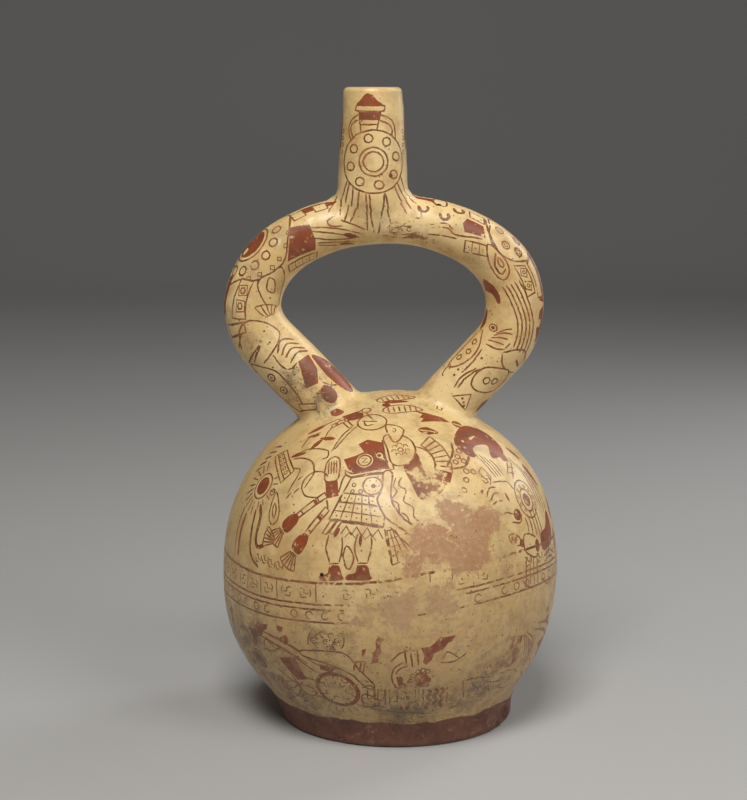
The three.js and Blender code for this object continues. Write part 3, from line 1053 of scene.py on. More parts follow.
def falling_figure(right):
    """A figure in a great red crest that falls forward, with a beaded shield and long ribbons."""
    fill(right, [(-6.8, 38.6), (2.8, 40.6), (11.2, 35.7), (13, 28), (9.3, 21.0), (-0.7, 20.8),
         (3.1, 27.0), (-3, 28.6), (-7.6, 27.6), (-9.6, 23.4), (-13.1, 25.4), (-14.4, 32.7)])
    disc(right, -9.0, 32.8, 0.8, slip_kind)
    fill(right, [(-4, 33.4), (1.6, 33.8), (-3.6, 32.2)], slip_kind)
    stroke(right, [(-15.2, 34.0), (-19.4, 29.0), (-26.6, 24.4)], 1.1)
    stroke(right, [(-12.6, 25.2), (-18.6, 21.2), (-26.8, 22.6)], 1.1)
    for x, y in ((-18.6, 26.6), (-21.4, 24.6), (-17.4, 23.6), (-15.6, 28.8)):
        shape(right, around(x, y, 1.3, 6))
    red_block(right, [(-14.2, 29.6), (-10.8, 24.6), (-13.6, 25.4)])
    for x, y in ((-20.0, 18.8), (-22.9, 15.2), (-26.8, 11.4), (-17.0, 17.4)):
        circle(right, x, y, 1.3, 0.7)
    for offset in (0, 1.8, 3.6, 5.6):
        stroke(right, [(-9 + offset, 26 - offset), (-7.6 + offset, 18), (-6.5 + offset, 11.6)], 0.7)
    stroke(right, [(-14.6, 16.4), (-11.0, 18.2), (-9.4, 12.8), (-12.4, 9.6)], 0.7, True, True)
    step_key(part_of(right, -13.0, 12.6), 0.9)
    red_block(right, [(4.4, 22.4), (9.4, 21.0), (10.4, 16.8), (5.6, 17.6)])
    strokes(right, [(10.6, 16.6), (4.4, 9.0)], [(7.6, 17.0), (2.4, 11.4)], [(9.4, 13.6), (5.8, 14.6)],
            [(7.4, 11.2), (4.0, 12.2)])
    shape(right, around(6.9, -0.9, 7.4, 10, squash=1.15))
    circle(right, 6.9, -1.4, 4.4, squash=1.15)
    disc(right, 6.9, -1.4, 2.6, squash=1.2)
    for x, y in around(6.9, -0.9, 5.9, 11):
        circle(right, x, y, 0.7, 0.5)
    leaf(part_of(right, -6.0, -0.6, 96), 5.2, 1.6, False)
    strokes(right, [(-18.4, 5), (-14.4, 8.2), (-10.4, 7.8)], [(-17.8, 2.4), (-13, 5.6), (-9.6, 4.4)],
            [(-18.6, 0.6), (-13.4, 2.0), (-10.2, 1.4)], [(-16.1, -3.6), (-10, -4.0), (-4.4, -6.4)],
            [(-10.4, 10.2), (-1.6, 8.6), (0.6, 4.4)], [(-9, -8.4), (-3.4, -9.8), (-0.6, -6.6)])
    disc(right, -16.1, -3.8, 2.3)
    disc(right, -3.9, -6.2, 2.6)
    leaf(part_of(right, -24.0, -1.4, 80), 5, 2.2, False)
    leaf(part_of(right, -21.4, 6.6, 30), 4.4, 1.6, False)
    for offset in range(5):
        x, y = 2.6 * offset, 0.8 * offset
        stroke(right, [(0.6 + x, -8.4 + 1.4 * y), (1.4 + 1.1 * x, -11.6 - y), (1.2 + 1.2 * x, -15.6 - y)])
    for offset in range(4):
        x = 3.2 * offset
        stroke(right, [(11 + x, 19 - 1.2 * x), (15.4 + x, 8 - 1.1 * x), (16.8 + 0.7 * x, -4 - 0.8 * x)])
    open_hand(part_of(right, -6.6, -17.6, 62, 0.62))
    shape(right, [(-2.8, -15.4), (3.2, -16.4), (6.6, -19.4), (6.4, -25.6), (1.0, -25.4), (-3.8, -21.6)])
    disc(right, 6.6, -21.6, 2.6, slip_kind, 1.5)
    disc(right, 6.6, -21.6, 1.9, red_kind, 1.6)
    fill(right, [(11, -17.2), (17.4, -15.0), (24.0, -8.0), (27.0, -12.0), (24.4, -21.0), (16, -24.6),
         (11.2, -24.0)])
    for offset in range(4):
        x = 2.9 * offset
        stroke(right, [(-3.6 + x, -24.6 - 0.2 * x), (-4.8 + 1.1 * x, -31.4),
               (-5.2 + 1.2 * x, -36.8 - 0.2 * x)])
    strokes(right, [(-8.4, -34.2), (-2, -38.6), (6.4, -38.8)], [(12.0, -27.4), (20, -25.2),
            (26.6, -27.8)], [(12.6, -29.8), (20, -27.8), (26, -30.2)], [(9.8, -36.6), (15.6, -40.2),
            (21.0, -38.8)], [(-26, -9.4), (-22.4, -13.4), (-17.4, -14.0)], width=0.8)
    leaf(part_of(right, 30.0, -26.4, 86), 11, 3.0, False)
    leaf(part_of(right, 31.6, -12.4, 70), 13, 3.4, False)
    fill(right, [(20, 15), (23.4, 10), (26.6, 2.6), (24, 4.4), (19.6, 10.4)])
    fill(right, [(16.4, 24.6), (20.4, 20.2), (21.0, 16.6), (17.2, 20.6)])


for azimuth, flip in ((-60, 1), (118, 1), (-122, -1)):
    crested_figure(at_chamber(azimuth, 30, 0, 1, flip))
falling_figure(at_chamber(55, 30))
striding_figure(at_chamber(-178, 33, 0, 1, -1))

top = at_chamber(-18, 68)
shape(top, around(2, -3, 6.2, 9, squash=0.92))
strokes(top, [(-2.8, 4), (-0.6, 1.2), (2.0, -1.4)], [(-2.6, -3.0), (4.2, -2.4)], [(-1.6, -3.4), (0.4, -6),
        (3.4, -4.6)])
circle(top, -3.4, 5.8, 2.0)
red_block(top, [(-13.0, 1.4), (-8.0, 4.4), (-5.0, 5.6), (-7.4, 2.2), (-6.2, 0.2), (-9.6, -3.2)])
panel(top, [(-13.8, -0.8), (-12.0, 0.6), (-5.6, -6.4), (-7.2, -7.6)])
strokes(top, [(-5.6, -7.0), (-8.8, -13.0), (-11.0, -21.6)], [(-3.8, -6.6), (-6.4, -12.4), (-9.8, -20.4)],
        [(-14, 0), (-18, -2.4), (-24, -4.2)], [(-13.2, -3.0), (-16, -7), (-16.8, -12)],
        [(-20.2, -8), (-25.4, -10.6), (-27.4, -16)])
leaf(part_of(top, -17.6, -12.8, 230), 8, 2.6, False)
leaf(part_of(top, -19.4, -3.6, 205), 9, 2.6, False)
shape(part_of(top, 11, -7), [(-2.6, 3.2), (4.0, 3.6), (6.0, -0.4), (4.4, -6.4), (0.6, -3.4)])
stroke(part_of(top, 11, -7), [(0.6, 1.8), (2.4, 1.6), (2.2, -0.6), (1.0, 0.4)], 0.6)
shells = at_chamber(4, 76)
for x, y, spin in ((0, 8, 20), (2, -3, 12)):
    shell = part_of(shells, x, y, spin)
    shape(shell, [(-7, 0), (-4.4, 3.4), (1, 4.2), (7, 2.6), (10.6, -0.6), (5, -2.4), (-3.4, -2.6)])
    for offset in range(6):
        stroke(shell, [(-4.6 + 2.4 * offset, -1.8), (-4.0 + 2.4 * offset, 3.0)], 0.7)
leaf(part_of(shells, -5, 4.4, 4), 12, 3.4, False)
disc(shells, -3, 1.6, 1.9)
darts = at_chamber(38, 68)
red_block(darts, [(-5.4, 6.4), (-3.0, 2.4), (-6.0, 0.8), (-4.8, -0.6), (-7.6, -2.4), (-1.4, -3.6),
          (6.4, -5.4), (5.0, -1.6)])
disc(darts, 9.4, -6.8, 2.6)
fill(darts, [(7.6, -5.6), (11.6, -7.8), (10.8, -8.6), (7.2, -6.6)], slip_kind, True)
leaf(part_of(at_chamber(26, 63), -4.6, -1.4, -18), 9.4, 4.8)

for azimuth in (70, 108, 146, 184, 222, 260, 295, 325):
    sky = at_chamber(azimuth, 68 + 4 * math.sin(azimuth), brush.uniform(-30, 30))
    if azimuth % 3 == 0:
        leaf(sky, 9, 3.6)
    elif azimuth % 3 == 1:
        mace(part_of(sky, -6, 0, 20, 0.8), 9, False)
    else:
        circle(sky, 0, 0, 2.6)
        strokes(sky, [(2.6, 0), (6, 2), (9, 0)], [(-2.6, 0), (-6, -2), (-9, 0)])

# The belly band: a ground line, step keys, a double line, small rings and another line
band_low = (0, -7.0, -8.7, -12.9)
ground = [(-182, 9.0), (-165, 9.0), (-130, 8.4), (-100, 7.4), (-76, 6.9), (-45, 6.4), (-18, 7.3),
          (0, 9.0), (14, 11.3), (45, 13.6), (75, 13.0), (110, 10.8), (150, 9.6), (178, 9.0)]
for fall, width in zip(band_low, (1.1, 0.9, 0.9, 0.9)):
    stroke(belly, belly_spots(*[(azimuth, rise + fall) for azimuth, rise in ground]), width)


def band_height(azimuth):
    wrapped = (azimuth + 180) % 360 - 180
    return np.interp(wrapped, [azimuth for azimuth, rise in ground], [rise for azimuth, rise in ground],
                     period=360)


for azimuth in np.arange(-176, 184, 7.4):
    middle = band_height(azimuth)
    if brush.random() > 0.12:
        step_key(at_chamber(azimuth, middle - 3.6, 0, 1.05, brush.choice((1, 1, -1))))
    if brush.random() > 0.45:
        stroke(belly, belly_spots((azimuth - 3.8, middle - 0.3), (azimuth - 3.6, middle - 6.8)), 0.6)
for azimuth in np.arange(-178, 180, 5.6):
    ring = at_chamber(azimuth, band_height(azimuth) - 10.8)
    spread = around(0, 0, 1.7, 8, brush.uniform(0, 90))
    if brush.random() < 0.5:
        stroke(ring, spread, 0.65, True)
    elif brush.random() < 0.8:
        stroke(ring, spread[:7], 0.65)

# The lower register: shields, fallen weapons and drapery above the foot


def fallen_shield(low):
    """A great round shield with rays below it, a bent band over it and cloth beside it."""
    for offset in (0, 3.4):
        stroke(low, [(-38 + offset, 17.4), (-26 + offset, 17 - offset / 2), (-12 + offset, 12 - offset)])
        stroke(low, [(-36 + offset, 20.4), (-24 + offset, 20.6 - offset / 2),
               (-10 + offset, 15.6 - offset)])
    red_block(low, [(-27.4, 10.4), (-18.4, 13.6), (-14.0, 2.4), (-19.4, 0.2)])
    strokes(low, [(-30, 3), (-22, -1.2), (-12, -2.2)], [(-31, -4), (-24, -7), (-20, -3)],
            [(-27, -9), (-21, -12), (-18, -8)])
    shape(low, [(-13.8, 18.4), (5.0, 20.4), (12, 12), (17.0, 3.0), (13.6, 2.0), (8, 9.6), (-2, 14),
          (-13.6, 15.6)])
    strokes(low, [(-10.6, 21.6), (-10.4, 25), (-8.4, 29)], [(6.4, 30.4), (6.6, 26), (5.4, 22.4)])
    for x, y in ((-8.2, 24.6), (-5.6, 26.6), (-6, 22.6), (-3.2, 28.2), (-1.6, 24.8), (0.8, 27.6),
    (3.4, 25.8), (2, 23)):
        stroke(low, around(x, y, 1.3, 6, brush.uniform(0, 90))[:5], 0.65)
    for mark in range(26):
        dot(low, brush.uniform(-9.6, 5.6), brush.uniform(21.4, 29), brush.uniform(0.35, 0.6))
    red_block(low, [(-27, 27), (-23, 27), (-24, 24.4), (-26.4, 24.4)])
    red_block(low, [(-25.4, 21.6), (-21.6, 24), (-20, 20.4), (-23, 18.4)])
    strokes(low, [(-29.4, -5.4), (-21, -1.6), (-20.4, -9), (-30, -19)], [(-24, -5), (-25.8, -9),
            (-22.6, -11)], [(11.4, 2.4), (16, 3), (14.4, -9.4), (8.4, -8.4)])
    red_block(low, [(-6.4, 13.4), (1.6, 12.4), (-0.8, 9.8), (-5.8, 10.4)])
    stroke(low, [(11, -1.6), (16, -4), (16.4, -9), (10.4, -9.6)], closed=True)
    stroke(low, around(-14.6, -3.6, 4.2, 8, 120)[:6])
    shield(low, 9.8)


def fallen_weapons(low):
    """Weapons and torn cloth that fall, over a row of wavy and upright strokes."""
    red_block(low, [(-18, 20.5), (-15.5, 19.5), (-17.2, 15.8), (-16.4, 13), (-18, 10.4), (-17.4, 8),
              (-20.4, 7), (-20, 12), (-18.8, 14.6), (-19.4, 18)])
    red_block(low, [(-25, 13), (-23, 14), (-23.5, 11), (-24.6, 9.4)])
    red_block(low, [(0, 15.5), (4, 15.6), (6, 17.2), (8.4, 20), (11.4, 19.4), (15.6, 19.6), (14, 17),
              (12, 16.4), (9.6, 13.4), (6, 12.4), (5, 9.4), (2.6, 7), (1.2, 8.4), (1.8, 11.4)])
    for x in (-27, -24.6, -23):
        stroke(low, [(x, 7.2), (x - 0.5, 1.6)])
    stroke(low, [(-27.4, 6.4), (-22.8, 7.8)])
    strokes(low, [(-7, 8.6), (-10.4, 6), (-11.6, 1.6), (-10, -3.4), (-7, -6)], [(-5, 7), (-8.4, 5.4),
            (-10, 2.4)], [(-12.4, 9), (-8, 13.6), (-2.4, 14.4)], [(-4.6, 16), (-3, 6)],
            [(-7, 15.2), (-5.6, 7.4)], [(-1.6, 14.6), (-0.6, 7)], [(9.6, 9), (12, 12.4), (17, 8.4)],
            [(9, 7.4), (15, 7), (21, 9.8)])
    red_block(low, [(-9.6, 1), (-7.4, 1.6), (-6.4, -0.4), (-7, -1.6), (-4.4, -3.4), (-5.6, -5.6),
              (-8, -4.6)])
    red_block(low, [(-2, -0.4), (-1.4, 2.4), (0, 3.6), (3, 2.4), (5.6, -0.6), (4.4, -4.6), (-0.6, -5)])
    for x, y in ((-0.6, 3.8), (1.6, 4.4), (-2.6, 1.8), (3.6, 3.6), (-3.4, -1)):
        circle(low, x, y, 1.1, 0.7)
    for x, lean in ((-4, 1), (-6.4, 0.9), (4.4, 0.5), (7.4, 1.9), (10, 2.2)):
        stroke(low, [(x, -6.4), (x + 1.8, -8.6), (x + 0.2, -11), (x + 1.8, -13.6), (x + 0.6, -16.2),
               (x + lean, -19.4)], 1.7)
    for x in (-18, -13.6, -11.8, -8.6, -1, 0.4, 2.4, 13):
        stroke(low, [(x, -5.8), (x + 0.5, -10.6), (x + 1, -17.2)], 0.75)
    for x in (-16.6, -21):
        stroke(low, [(x, -6.6), (x + 3, -6.8), (x + 3, -12.6), (x + 0.4, -12.8)], 0.75, True, True)
    strokes(low, [(-20, -19.4), (-14, -20.4), (-3, -21.2), (8, -22.6)], [(-10, -15.6), (-9.6, -18.6),
            (-5.4, -18.2)], [(21, -5), (27, -6), (36, -9.4)], [(20, -4.6), (21.8, -16.4)],
            [(26, -10), (29, -14.6), (27.6, -16.4), (33, -19.4)])
    red_block(low, [(15.4, -22.4), (18, -22), (20.4, -20.4), (17.4, -20.8)])


def torn_drapery(low):
    """A red cloth torn at its edges, with ribbons round it."""
    red_block(low, [(-3.8, 14.4), (0.2, 13.4), (4.8, 13), (4.4, 9.4), (2, 8.6), (4.8, 5.6), (4.4, 0.6),
              (1.4, -2.4), (-3.6, -1.4), (-8.6, 2.4), (-5.2, 5.2), (-3, 8.6)])
    red_block(low, [(-13, 1.4), (-10.4, 3.2), (-9.8, 0.4), (-6.6, 0.2), (-9.6, -2.8)])
    strokes(low, [(-12, -3), (-6, -4.4), (4, -4), (9, -7)], [(-12.4, -7), (-5, -8.6), (5, -8)],
            [(-8.6, -9.4), (-5, -14), (0, -12)], [(5, 13), (11, 9), (14, 2), (13, -6)],
            [(7.6, 13.6), (14, 8.6), (16.6, 1)], [(-2, -12), (4, -14.6), (9, -13)])
    for offset in range(5):
        stroke(low, [(6 + 1.8 * offset, 12 - offset), (9 + 1.9 * offset, 4 - offset),
               (8 + 1.9 * offset, -5)], 0.65)
    stroke(low, [(-13, -1), (-13.4, -12)], 0.8)


for azimuth, flip, painting in (
    (-20, 1, fallen_shield), (10, 1, fallen_weapons), (48, 1, torn_drapery), (88, 1, fallen_shield),
    (126, -1, fallen_weapons), (164, 1, torn_drapery), (-160, 1, fallen_shield),
    (-124, 1, fallen_weapons), (-88, 1, torn_drapery), (-56, 1, fallen_weapons),
):
    low = at_chamber(azimuth, -31 if painting is fallen_shield else -25, 0, 1, flip)
    painting(low)
    for step in range(22):
        dot(low, brush.uniform(-22, 22), brush.uniform(-14, 18), brush.uniform(0.35, 0.6))

# Two small holes, where a bit of chaff burnt out of the wall. They are not cut into the clay: each is a
# near-black disc, painted shade standing in for the dark inside the hole.
disc(at_tube(23, 33), 0, 0, 0.95, pit_shade_kind)
disc(at_chamber(-22.4, 9.8), 0, 0, 0.95, pit_shade_kind)

# The skin is cut and lifted sheet by sheet, from shared seams
skin_step = 2.3
edge_clear = 0.6 * skin_step
hole_clear = 1.08
golden_cover = 0.9
ring_clear = 0.03
leg_clear = 0.01
leg_count = 61
seam_columns = 60
ring_columns = 240

leg_edges = {}
for side in (-1, 1):
    s, turn = leg_seam(side, leg_count)
    numbers = keep_points(tube_lift(np.column_stack([s, turn * tube_girth]))[:-1])
    leg_edges[side] = (s, turn, numbers + numbers[:1])

neck_turn = np.linspace(-math.pi, math.pi, seam_columns + 1)
neck_base = spout_place(neck_turn, spout_seam_height(neck_turn))
base_numbers = keep_points(neck_base[:-1])
base_numbers.append(base_numbers[0])

near_line = (neck_base[:, :1] - line_x) ** 2 + (neck_base[:, 2:] - line_z) ** 2
closest = np.argmin(near_line, axis=1)
base_s = line_s[closest]
outwards = (neck_base[:, 0] - line_x[closest]) * -line_dz[closest]
outwards += (neck_base[:, 2] - line_z[closest]) * line_dx[closest]
base_turn = np.arctan2(-neck_base[:, 1], outwards)
crown_hole = seam_pairs(np.column_stack([base_s, base_turn * tube_girth])[:-1], base_numbers[:-1])

back_s = np.arange(leg_edges[-1][0][0], leg_edges[1][0][0], skin_step)[1:]
back_side = np.full(len(back_s), math.pi * tube_girth)
back_numbers = keep_points(tube_lift(np.column_stack([back_s, back_side])))
left_s, left_turn, left_numbers = leg_edges[-1]
right_s, right_turn, right_numbers = leg_edges[1]
tube_outline = seam_pairs(np.column_stack([left_s, left_turn * tube_girth])[::-1], left_numbers[::-1])
tube_outline += seam_pairs(np.column_stack([back_s, -back_side]), back_numbers)
tube_outline += seam_pairs(np.column_stack([right_s, right_turn * tube_girth]), right_numbers)
tube_outline += seam_pairs(np.column_stack([back_s, back_side])[::-1], back_numbers[::-1])


def inside_tube(spots):
    turn = spots[:, 1] / tube_girth
    inside = spots[:, 0] > np.interp(turn, left_turn, left_s) + edge_clear
    inside &= spots[:, 0] < np.interp(turn, right_turn, right_s) - edge_clear
    inside &= np.abs(spots[:, 1]) < math.pi * tube_girth - edge_clear
    hole_middle = np.mean(base_s)
    hole_reach = np.hypot((spots[:, 0] - hole_middle) / (np.ptp(base_s) / 2), turn / np.max(base_turn))
    return inside & (hole_reach > hole_clear)


half_girth = math.pi * tube_girth
tube_grid = even_grid(-half_length, half_length, -half_girth, half_girth, skin_step, inside_tube)
cut_sheet(tube_outline, [crown_hole], tube_grid, tube_marks, tube_lift, turned_over=True)

neck_top = lip_height - lip_round
side_z = np.arange(spout_seam_low, neck_top, skin_step)[1:]
neck_side = np.full(len(side_z), math.pi * neck_girth)
side_numbers = keep_points(spout_lift(np.column_stack([neck_side, side_z])))
top_numbers = keep_points(spout_place(neck_turn, np.full(len(neck_turn), neck_top))[:-1])
top_numbers.append(top_numbers[0])
neck_bottom = np.column_stack([neck_turn * neck_girth, spout_seam_height(neck_turn)])
neck_rim = np.column_stack([neck_turn * neck_girth, np.full(len(neck_turn), neck_top)])
neck_outline = seam_pairs(neck_bottom, base_numbers)
neck_outline += seam_pairs(np.column_stack([neck_side, side_z]), side_numbers)
neck_outline += seam_pairs(neck_rim[::-1], top_numbers[::-1])
neck_outline += seam_pairs(np.column_stack([-neck_side, side_z])[::-1], side_numbers[::-1])


def inside_neck(spots):
    turn = spots[:, 0] / neck_girth
    inside = spots[:, 1] > spout_seam_height(turn) + edge_clear
    inside &= spots[:, 1] < neck_top - edge_clear
    return inside & (np.abs(spots[:, 0]) < math.pi * neck_girth - edge_clear)


neck_half = math.pi * neck_girth
neck_grid = even_grid(-neck_half, neck_half, spout_seam_low, neck_top, skin_step, inside_neck)
cut_sheet(neck_outline, [], neck_grid, neck_marks, spout_lift)

ring_turn = np.linspace(0, 2 * math.pi, ring_columns + 1)[:-1]


foot_search = (40, 70)


def foot_place(turn, z):
    start = np.column_stack([np.full(len(turn), foot_shift), 0 * turn, np.full(len(turn), float(z))])
    heading = np.column_stack([np.cos(turn), np.sin(turn), 0 * turn])
    return reach_surface(start, heading, *foot_search, body_gap)


chamber_first = len(skin_points)
foot_ring = foot_place(ring_turn, foot_seam)
ring_numbers = keep_points(foot_ring)
ring_heading = foot_ring - chamber_centre
ring_heading /= np.linalg.norm(ring_heading, axis=1)[:, None]
chamber_outline = seam_pairs(chamber_sheet(ring_heading), ring_numbers)
leg_holes = []
for side in (-1, 1):
    numbers = leg_edges[side][2][:-1]
    heading = np.array([skin_points[number] for number in numbers]) - chamber_centre
    heading /= np.linalg.norm(heading, axis=1)[:, None]
    leg_holes.append(seam_pairs(chamber_sheet(heading), numbers))

golden = math.pi * (3 - math.sqrt(5))
spread = int(4 * math.pi * chamber_radius ** 2 / (golden_cover * skin_step ** 2))
count = np.arange(spread)
grid_z = 1 - 2 * (count + 0.5) / spread
grid_across = np.sqrt(1 - grid_z ** 2)
grid_heading = np.column_stack([
    grid_across * np.cos(golden * count),
    grid_across * np.sin(golden * count),
    grid_z,
])
foot_limit = np.max(ring_heading[:, 2]) + ring_clear
grid_heading = grid_heading[grid_heading[:, 2] > foot_limit]
for edge in leg_holes:
    rim = chamber_heading(np.array([spot for spot, number in edge]))
    middle = np.mean(rim, axis=0)
    middle /= np.linalg.norm(middle)
    widest_reach = np.min(rim @ middle)
    grid_heading = grid_heading[grid_heading @ middle < widest_reach - leg_clear]
chamber_grid = [tuple(spot) for spot in chamber_sheet(grid_heading)]
cut_sheet(chamber_outline, leg_holes, chamber_grid, chamber_marks, chamber_lift)


# The ring foot
# A thick coil of the same clay, turned upright and left bare of slip. Its edge is worn round,
# knocked in places, and it stands on a flat ring round a shallow recess.
foot_edge = 2.6
foot_ring_inner = 40.5
recess_inner = 38.0
recess_depth = 3.5
foot_chips = [
    {"turn": -21, "height": 3.5, "radius": 6.5, "depth": 2.3},
    {"turn": -30, "height": 1.0, "radius": 3.5, "depth": 1.4},
    {"turn": -12, "height": 8.0, "radius": 3.0, "depth": 0.9},
    {"turn": -47, "height": 0.5, "radius": 4.0, "depth": 1.0},
    {"turn": -118, "height": 0.5, "radius": 5.0, "depth": 1.2},
    {"turn": 75, "height": 0.0, "radius": 4.5, "depth": 1.5},
    {"turn": 168, "height": 2.0, "radius": 5.0, "depth": 1.3},
]
foot_middle = np.array([foot_shift, 0, 0])


def knocked(places):
    """Push the foot's surface in where something struck a flake off it."""
    places = places.copy()
    for chip in foot_chips:
        turn = math.radians(chip["turn"])
        reach = foot_radius + chip["radius"] - chip["depth"]
        middle = np.array([foot_shift + reach * math.cos(turn), reach * math.sin(turn), chip["height"]])
        offset = places - middle
        distance = np.linalg.norm(offset, axis=1)
        ragged = 1 + 0.12 * np.sin(places[:, 0] * 2.1 + places[:, 2] * 3.3) * np.cos(places[:, 1] * 1.7)
        radius = chip["radius"] * ragged
        struck = distance < radius
        inward = foot_middle - places[struck]
        inward[:, 2] = 0
        inward /= np.linalg.norm(inward, axis=1)[:, None]
        places[struck] += inward * (radius - distance)[struck, None] * 0.9
    return places


def add_ring(places, before, rising=False):
    """A ring of new points joined to the ring before it, with the wall facing outwards."""
    numbers = keep_points(places)
    count = len(numbers)
    for column in range(count):
        after = (column + 1) % count
        wall = [before[column], numbers[column], numbers[after], before[after]]
        skin_faces.append(wall[::-1] if rising else wall)
        skin_paint.append(slip_kind)
    return numbers


skin_total = len(skin_points)
ring = ring_numbers
for z in (8.2, 7.4, 6.6, 5.8, 5.0, 4.2, 3.4):
    ring = add_ring(knocked(foot_place(ring_turn, z)), ring)
edge_ring = foot_place(ring_turn, foot_edge)
edge_reach = np.linalg.norm(edge_ring - foot_middle - [0, 0, foot_edge], axis=1)
radial = np.column_stack([np.cos(ring_turn), np.sin(ring_turn), 0 * ring_turn])
for turn in np.radians([0, 18, 36, 54, 72, 90]):
    reach = edge_reach - foot_edge + foot_edge * math.cos(turn)
    places = foot_middle + radial * reach[:, None]
    places[:, 2] = foot_edge * (1 - math.sin(turn))
    ring = add_ring(knocked(places), ring)
underside = [
    (46.0, 0.0), (foot_ring_inner, 0.0), (39.4, 1.0), (recess_inner, recess_depth),
    (32.0, recess_depth), (20.0, recess_depth), (8.0, recess_depth),
]
for reach, z in underside:
    places = foot_middle + radial * reach
    places[:, 2] = z
    ring = add_ring(places, ring)
base_middle = keep_points([foot_middle + [0, 0, recess_depth]])[0]
for column in range(len(ring)):
    skin_faces.append([ring[column], base_middle, ring[(column + 1) % len(ring)]])
    skin_paint.append(slip_kind)

# The lip and the hollow
# The lip is smoothed round with a wet finger and the slip is carried just over it. Inside is
# bare clay: a bored spout, the two tubes, and the chamber they open into.
bore_radius = 8.9
mouth_round = 1.2
chamber_wall = 5.0
tube_wall = 4.6
hollow_floor = recess_depth + chamber_wall

top_ring = np.array([skin_points[number] for number in top_numbers[:-1]])
neck_axis = np.array([spout_shift, 0, neck_top])
neck_radial = np.column_stack([np.sin(neck_turn[:-1]), -np.cos(neck_turn[:-1]), 0 * neck_turn[:-1]])
top_reach = np.linalg.norm(top_ring - neck_axis, axis=1)
ring = top_numbers[:-1]
for turn in np.radians([22, 45, 67, 90]):
    reach = top_reach - lip_round + lip_round * math.cos(turn)
    places = neck_axis + neck_radial * reach[:, None]
    places[:, 2] += lip_round * math.sin(turn)
    ring = add_ring(places, ring, rising=True)
for turn in np.radians([90, 60, 30, 0]):
    places = neck_axis + neck_radial * (bore_radius + mouth_round - mouth_round * math.cos(turn))
    places[:, 2] = lip_height - mouth_round + mouth_round * math.sin(turn)
    ring = add_ring(places, ring, rising=True)
mouth_ring = ring


def deselect():
    bpy.ops.object.select_all(action="DESELECT")


def merge_into(piece, tool):
    """Join another closed solid into this one, and delete the other."""
    deselect()
    bpy.context.view_layer.objects.active = piece
    piece.select_set(True)
    modifier = piece.modifiers.new("merge", "BOOLEAN")
    modifier.operation = "UNION"
    modifier.solver = "EXACT"
    modifier.object = tool
    bpy.ops.object.modifier_apply(modifier=modifier.name)
    bpy.data.objects.remove(tool)


deselect()
bpy.ops.mesh.primitive_uv_sphere_add(
    segments=48,
    ring_count=24,
    radius=(chamber_radius - chamber_wall) * MM,
    location=(0, 0, chamber_middle * MM),
)
hollow = bpy.context.object
hollow.scale.z = (chamber_half_height - chamber_wall) / (chamber_radius - chamber_wall)
bpy.ops.object.transform_apply(location=True, rotation=True, scale=True)
bpy.ops.object.mode_set(mode="EDIT")
bpy.ops.mesh.select_all(action="SELECT")
bpy.ops.mesh.bisect(
    plane_co=(0, 0, hollow_floor * MM),
    plane_no=(0, 0, 1),
    use_fill=True,
    clear_inner=True,
)
bpy.ops.object.mode_set(mode="OBJECT")

tube_sides = 20
tube_s = np.linspace(-half_length + 2, half_length - 2, 110)
tube_points = []
for s in tube_s:
    turn = np.linspace(0, 2 * math.pi, tube_sides + 1)[:-1]
    middle, heading = tube_ray(np.full(tube_sides, s), turn)
    tall, deep = tube_radii(s)
    wall = 1 / np.hypot(np.cos(turn) / (tall - tube_wall), np.sin(turn) / (deep - tube_wall))
    tube_points.extend(((middle + heading * wall[:, None]) * MM).tolist())
tube_faces = [list(range(tube_sides))[::-1]]
tube_faces.append([len(tube_points) - tube_sides + side for side in range(tube_sides)])
for step in range(len(tube_s) - 1):
    for side in range(tube_sides):
        here = step * tube_sides + side
        after = step * tube_sides + (side + 1) % tube_sides
        tube_faces.append([here, after, after + tube_sides, here + tube_sides])
tube_mesh = bpy.data.meshes.new("tube_hollow")
tube_mesh.from_pydata(tube_points, [], tube_faces)
tube_hollow = bpy.data.objects.new("tube_hollow", tube_mesh)
bpy.context.scene.collection.objects.link(tube_hollow)
deselect()
bpy.context.view_layer.objects.active = tube_hollow
tube_hollow.select_set(True)
bpy.ops.object.mode_set(mode="EDIT")
bpy.ops.mesh.select_all(action="SELECT")
bpy.ops.mesh.normals_make_consistent(inside=False)
bpy.ops.object.mode_set(mode="OBJECT")
merge_into(hollow, tube_hollow)

bore_top = lip_height - mouth_round
deselect()
bpy.ops.mesh.primitive_cylinder_add(
    vertices=seam_columns,
    radius=bore_radius * MM,
    depth=(bore_top - crown_height) * MM,
    location=(spout_shift * MM, 0, (bore_top + crown_height) / 2 * MM),
)
bore = bpy.context.object
bpy.ops.object.transform_apply(location=True, rotation=True, scale=True)
merge_into(hollow, bore)

same_place = 0.02
mouth_places = np.array([skin_points[number] for number in mouth_ring])
hollow_numbers = []
for corner in hollow.data.vertices:
    place = np.array(corner.co) / MM
    apart = np.linalg.norm(mouth_places - place, axis=1)
    if apart.min() < same_place:
        hollow_numbers.append(mouth_ring[int(apart.argmin())])
    else:
        hollow_numbers.extend(keep_points([place]))
hollow_start = len(skin_faces)
for face in hollow.data.polygons:
    if face.normal.z > 0.9 and face.center.z > (bore_top - 0.05) * MM:
        continue
    skin_faces.append([hollow_numbers[corner] for corner in face.vertices][::-1])
    skin_paint.append(slip_kind)
bpy.data.objects.remove(hollow)


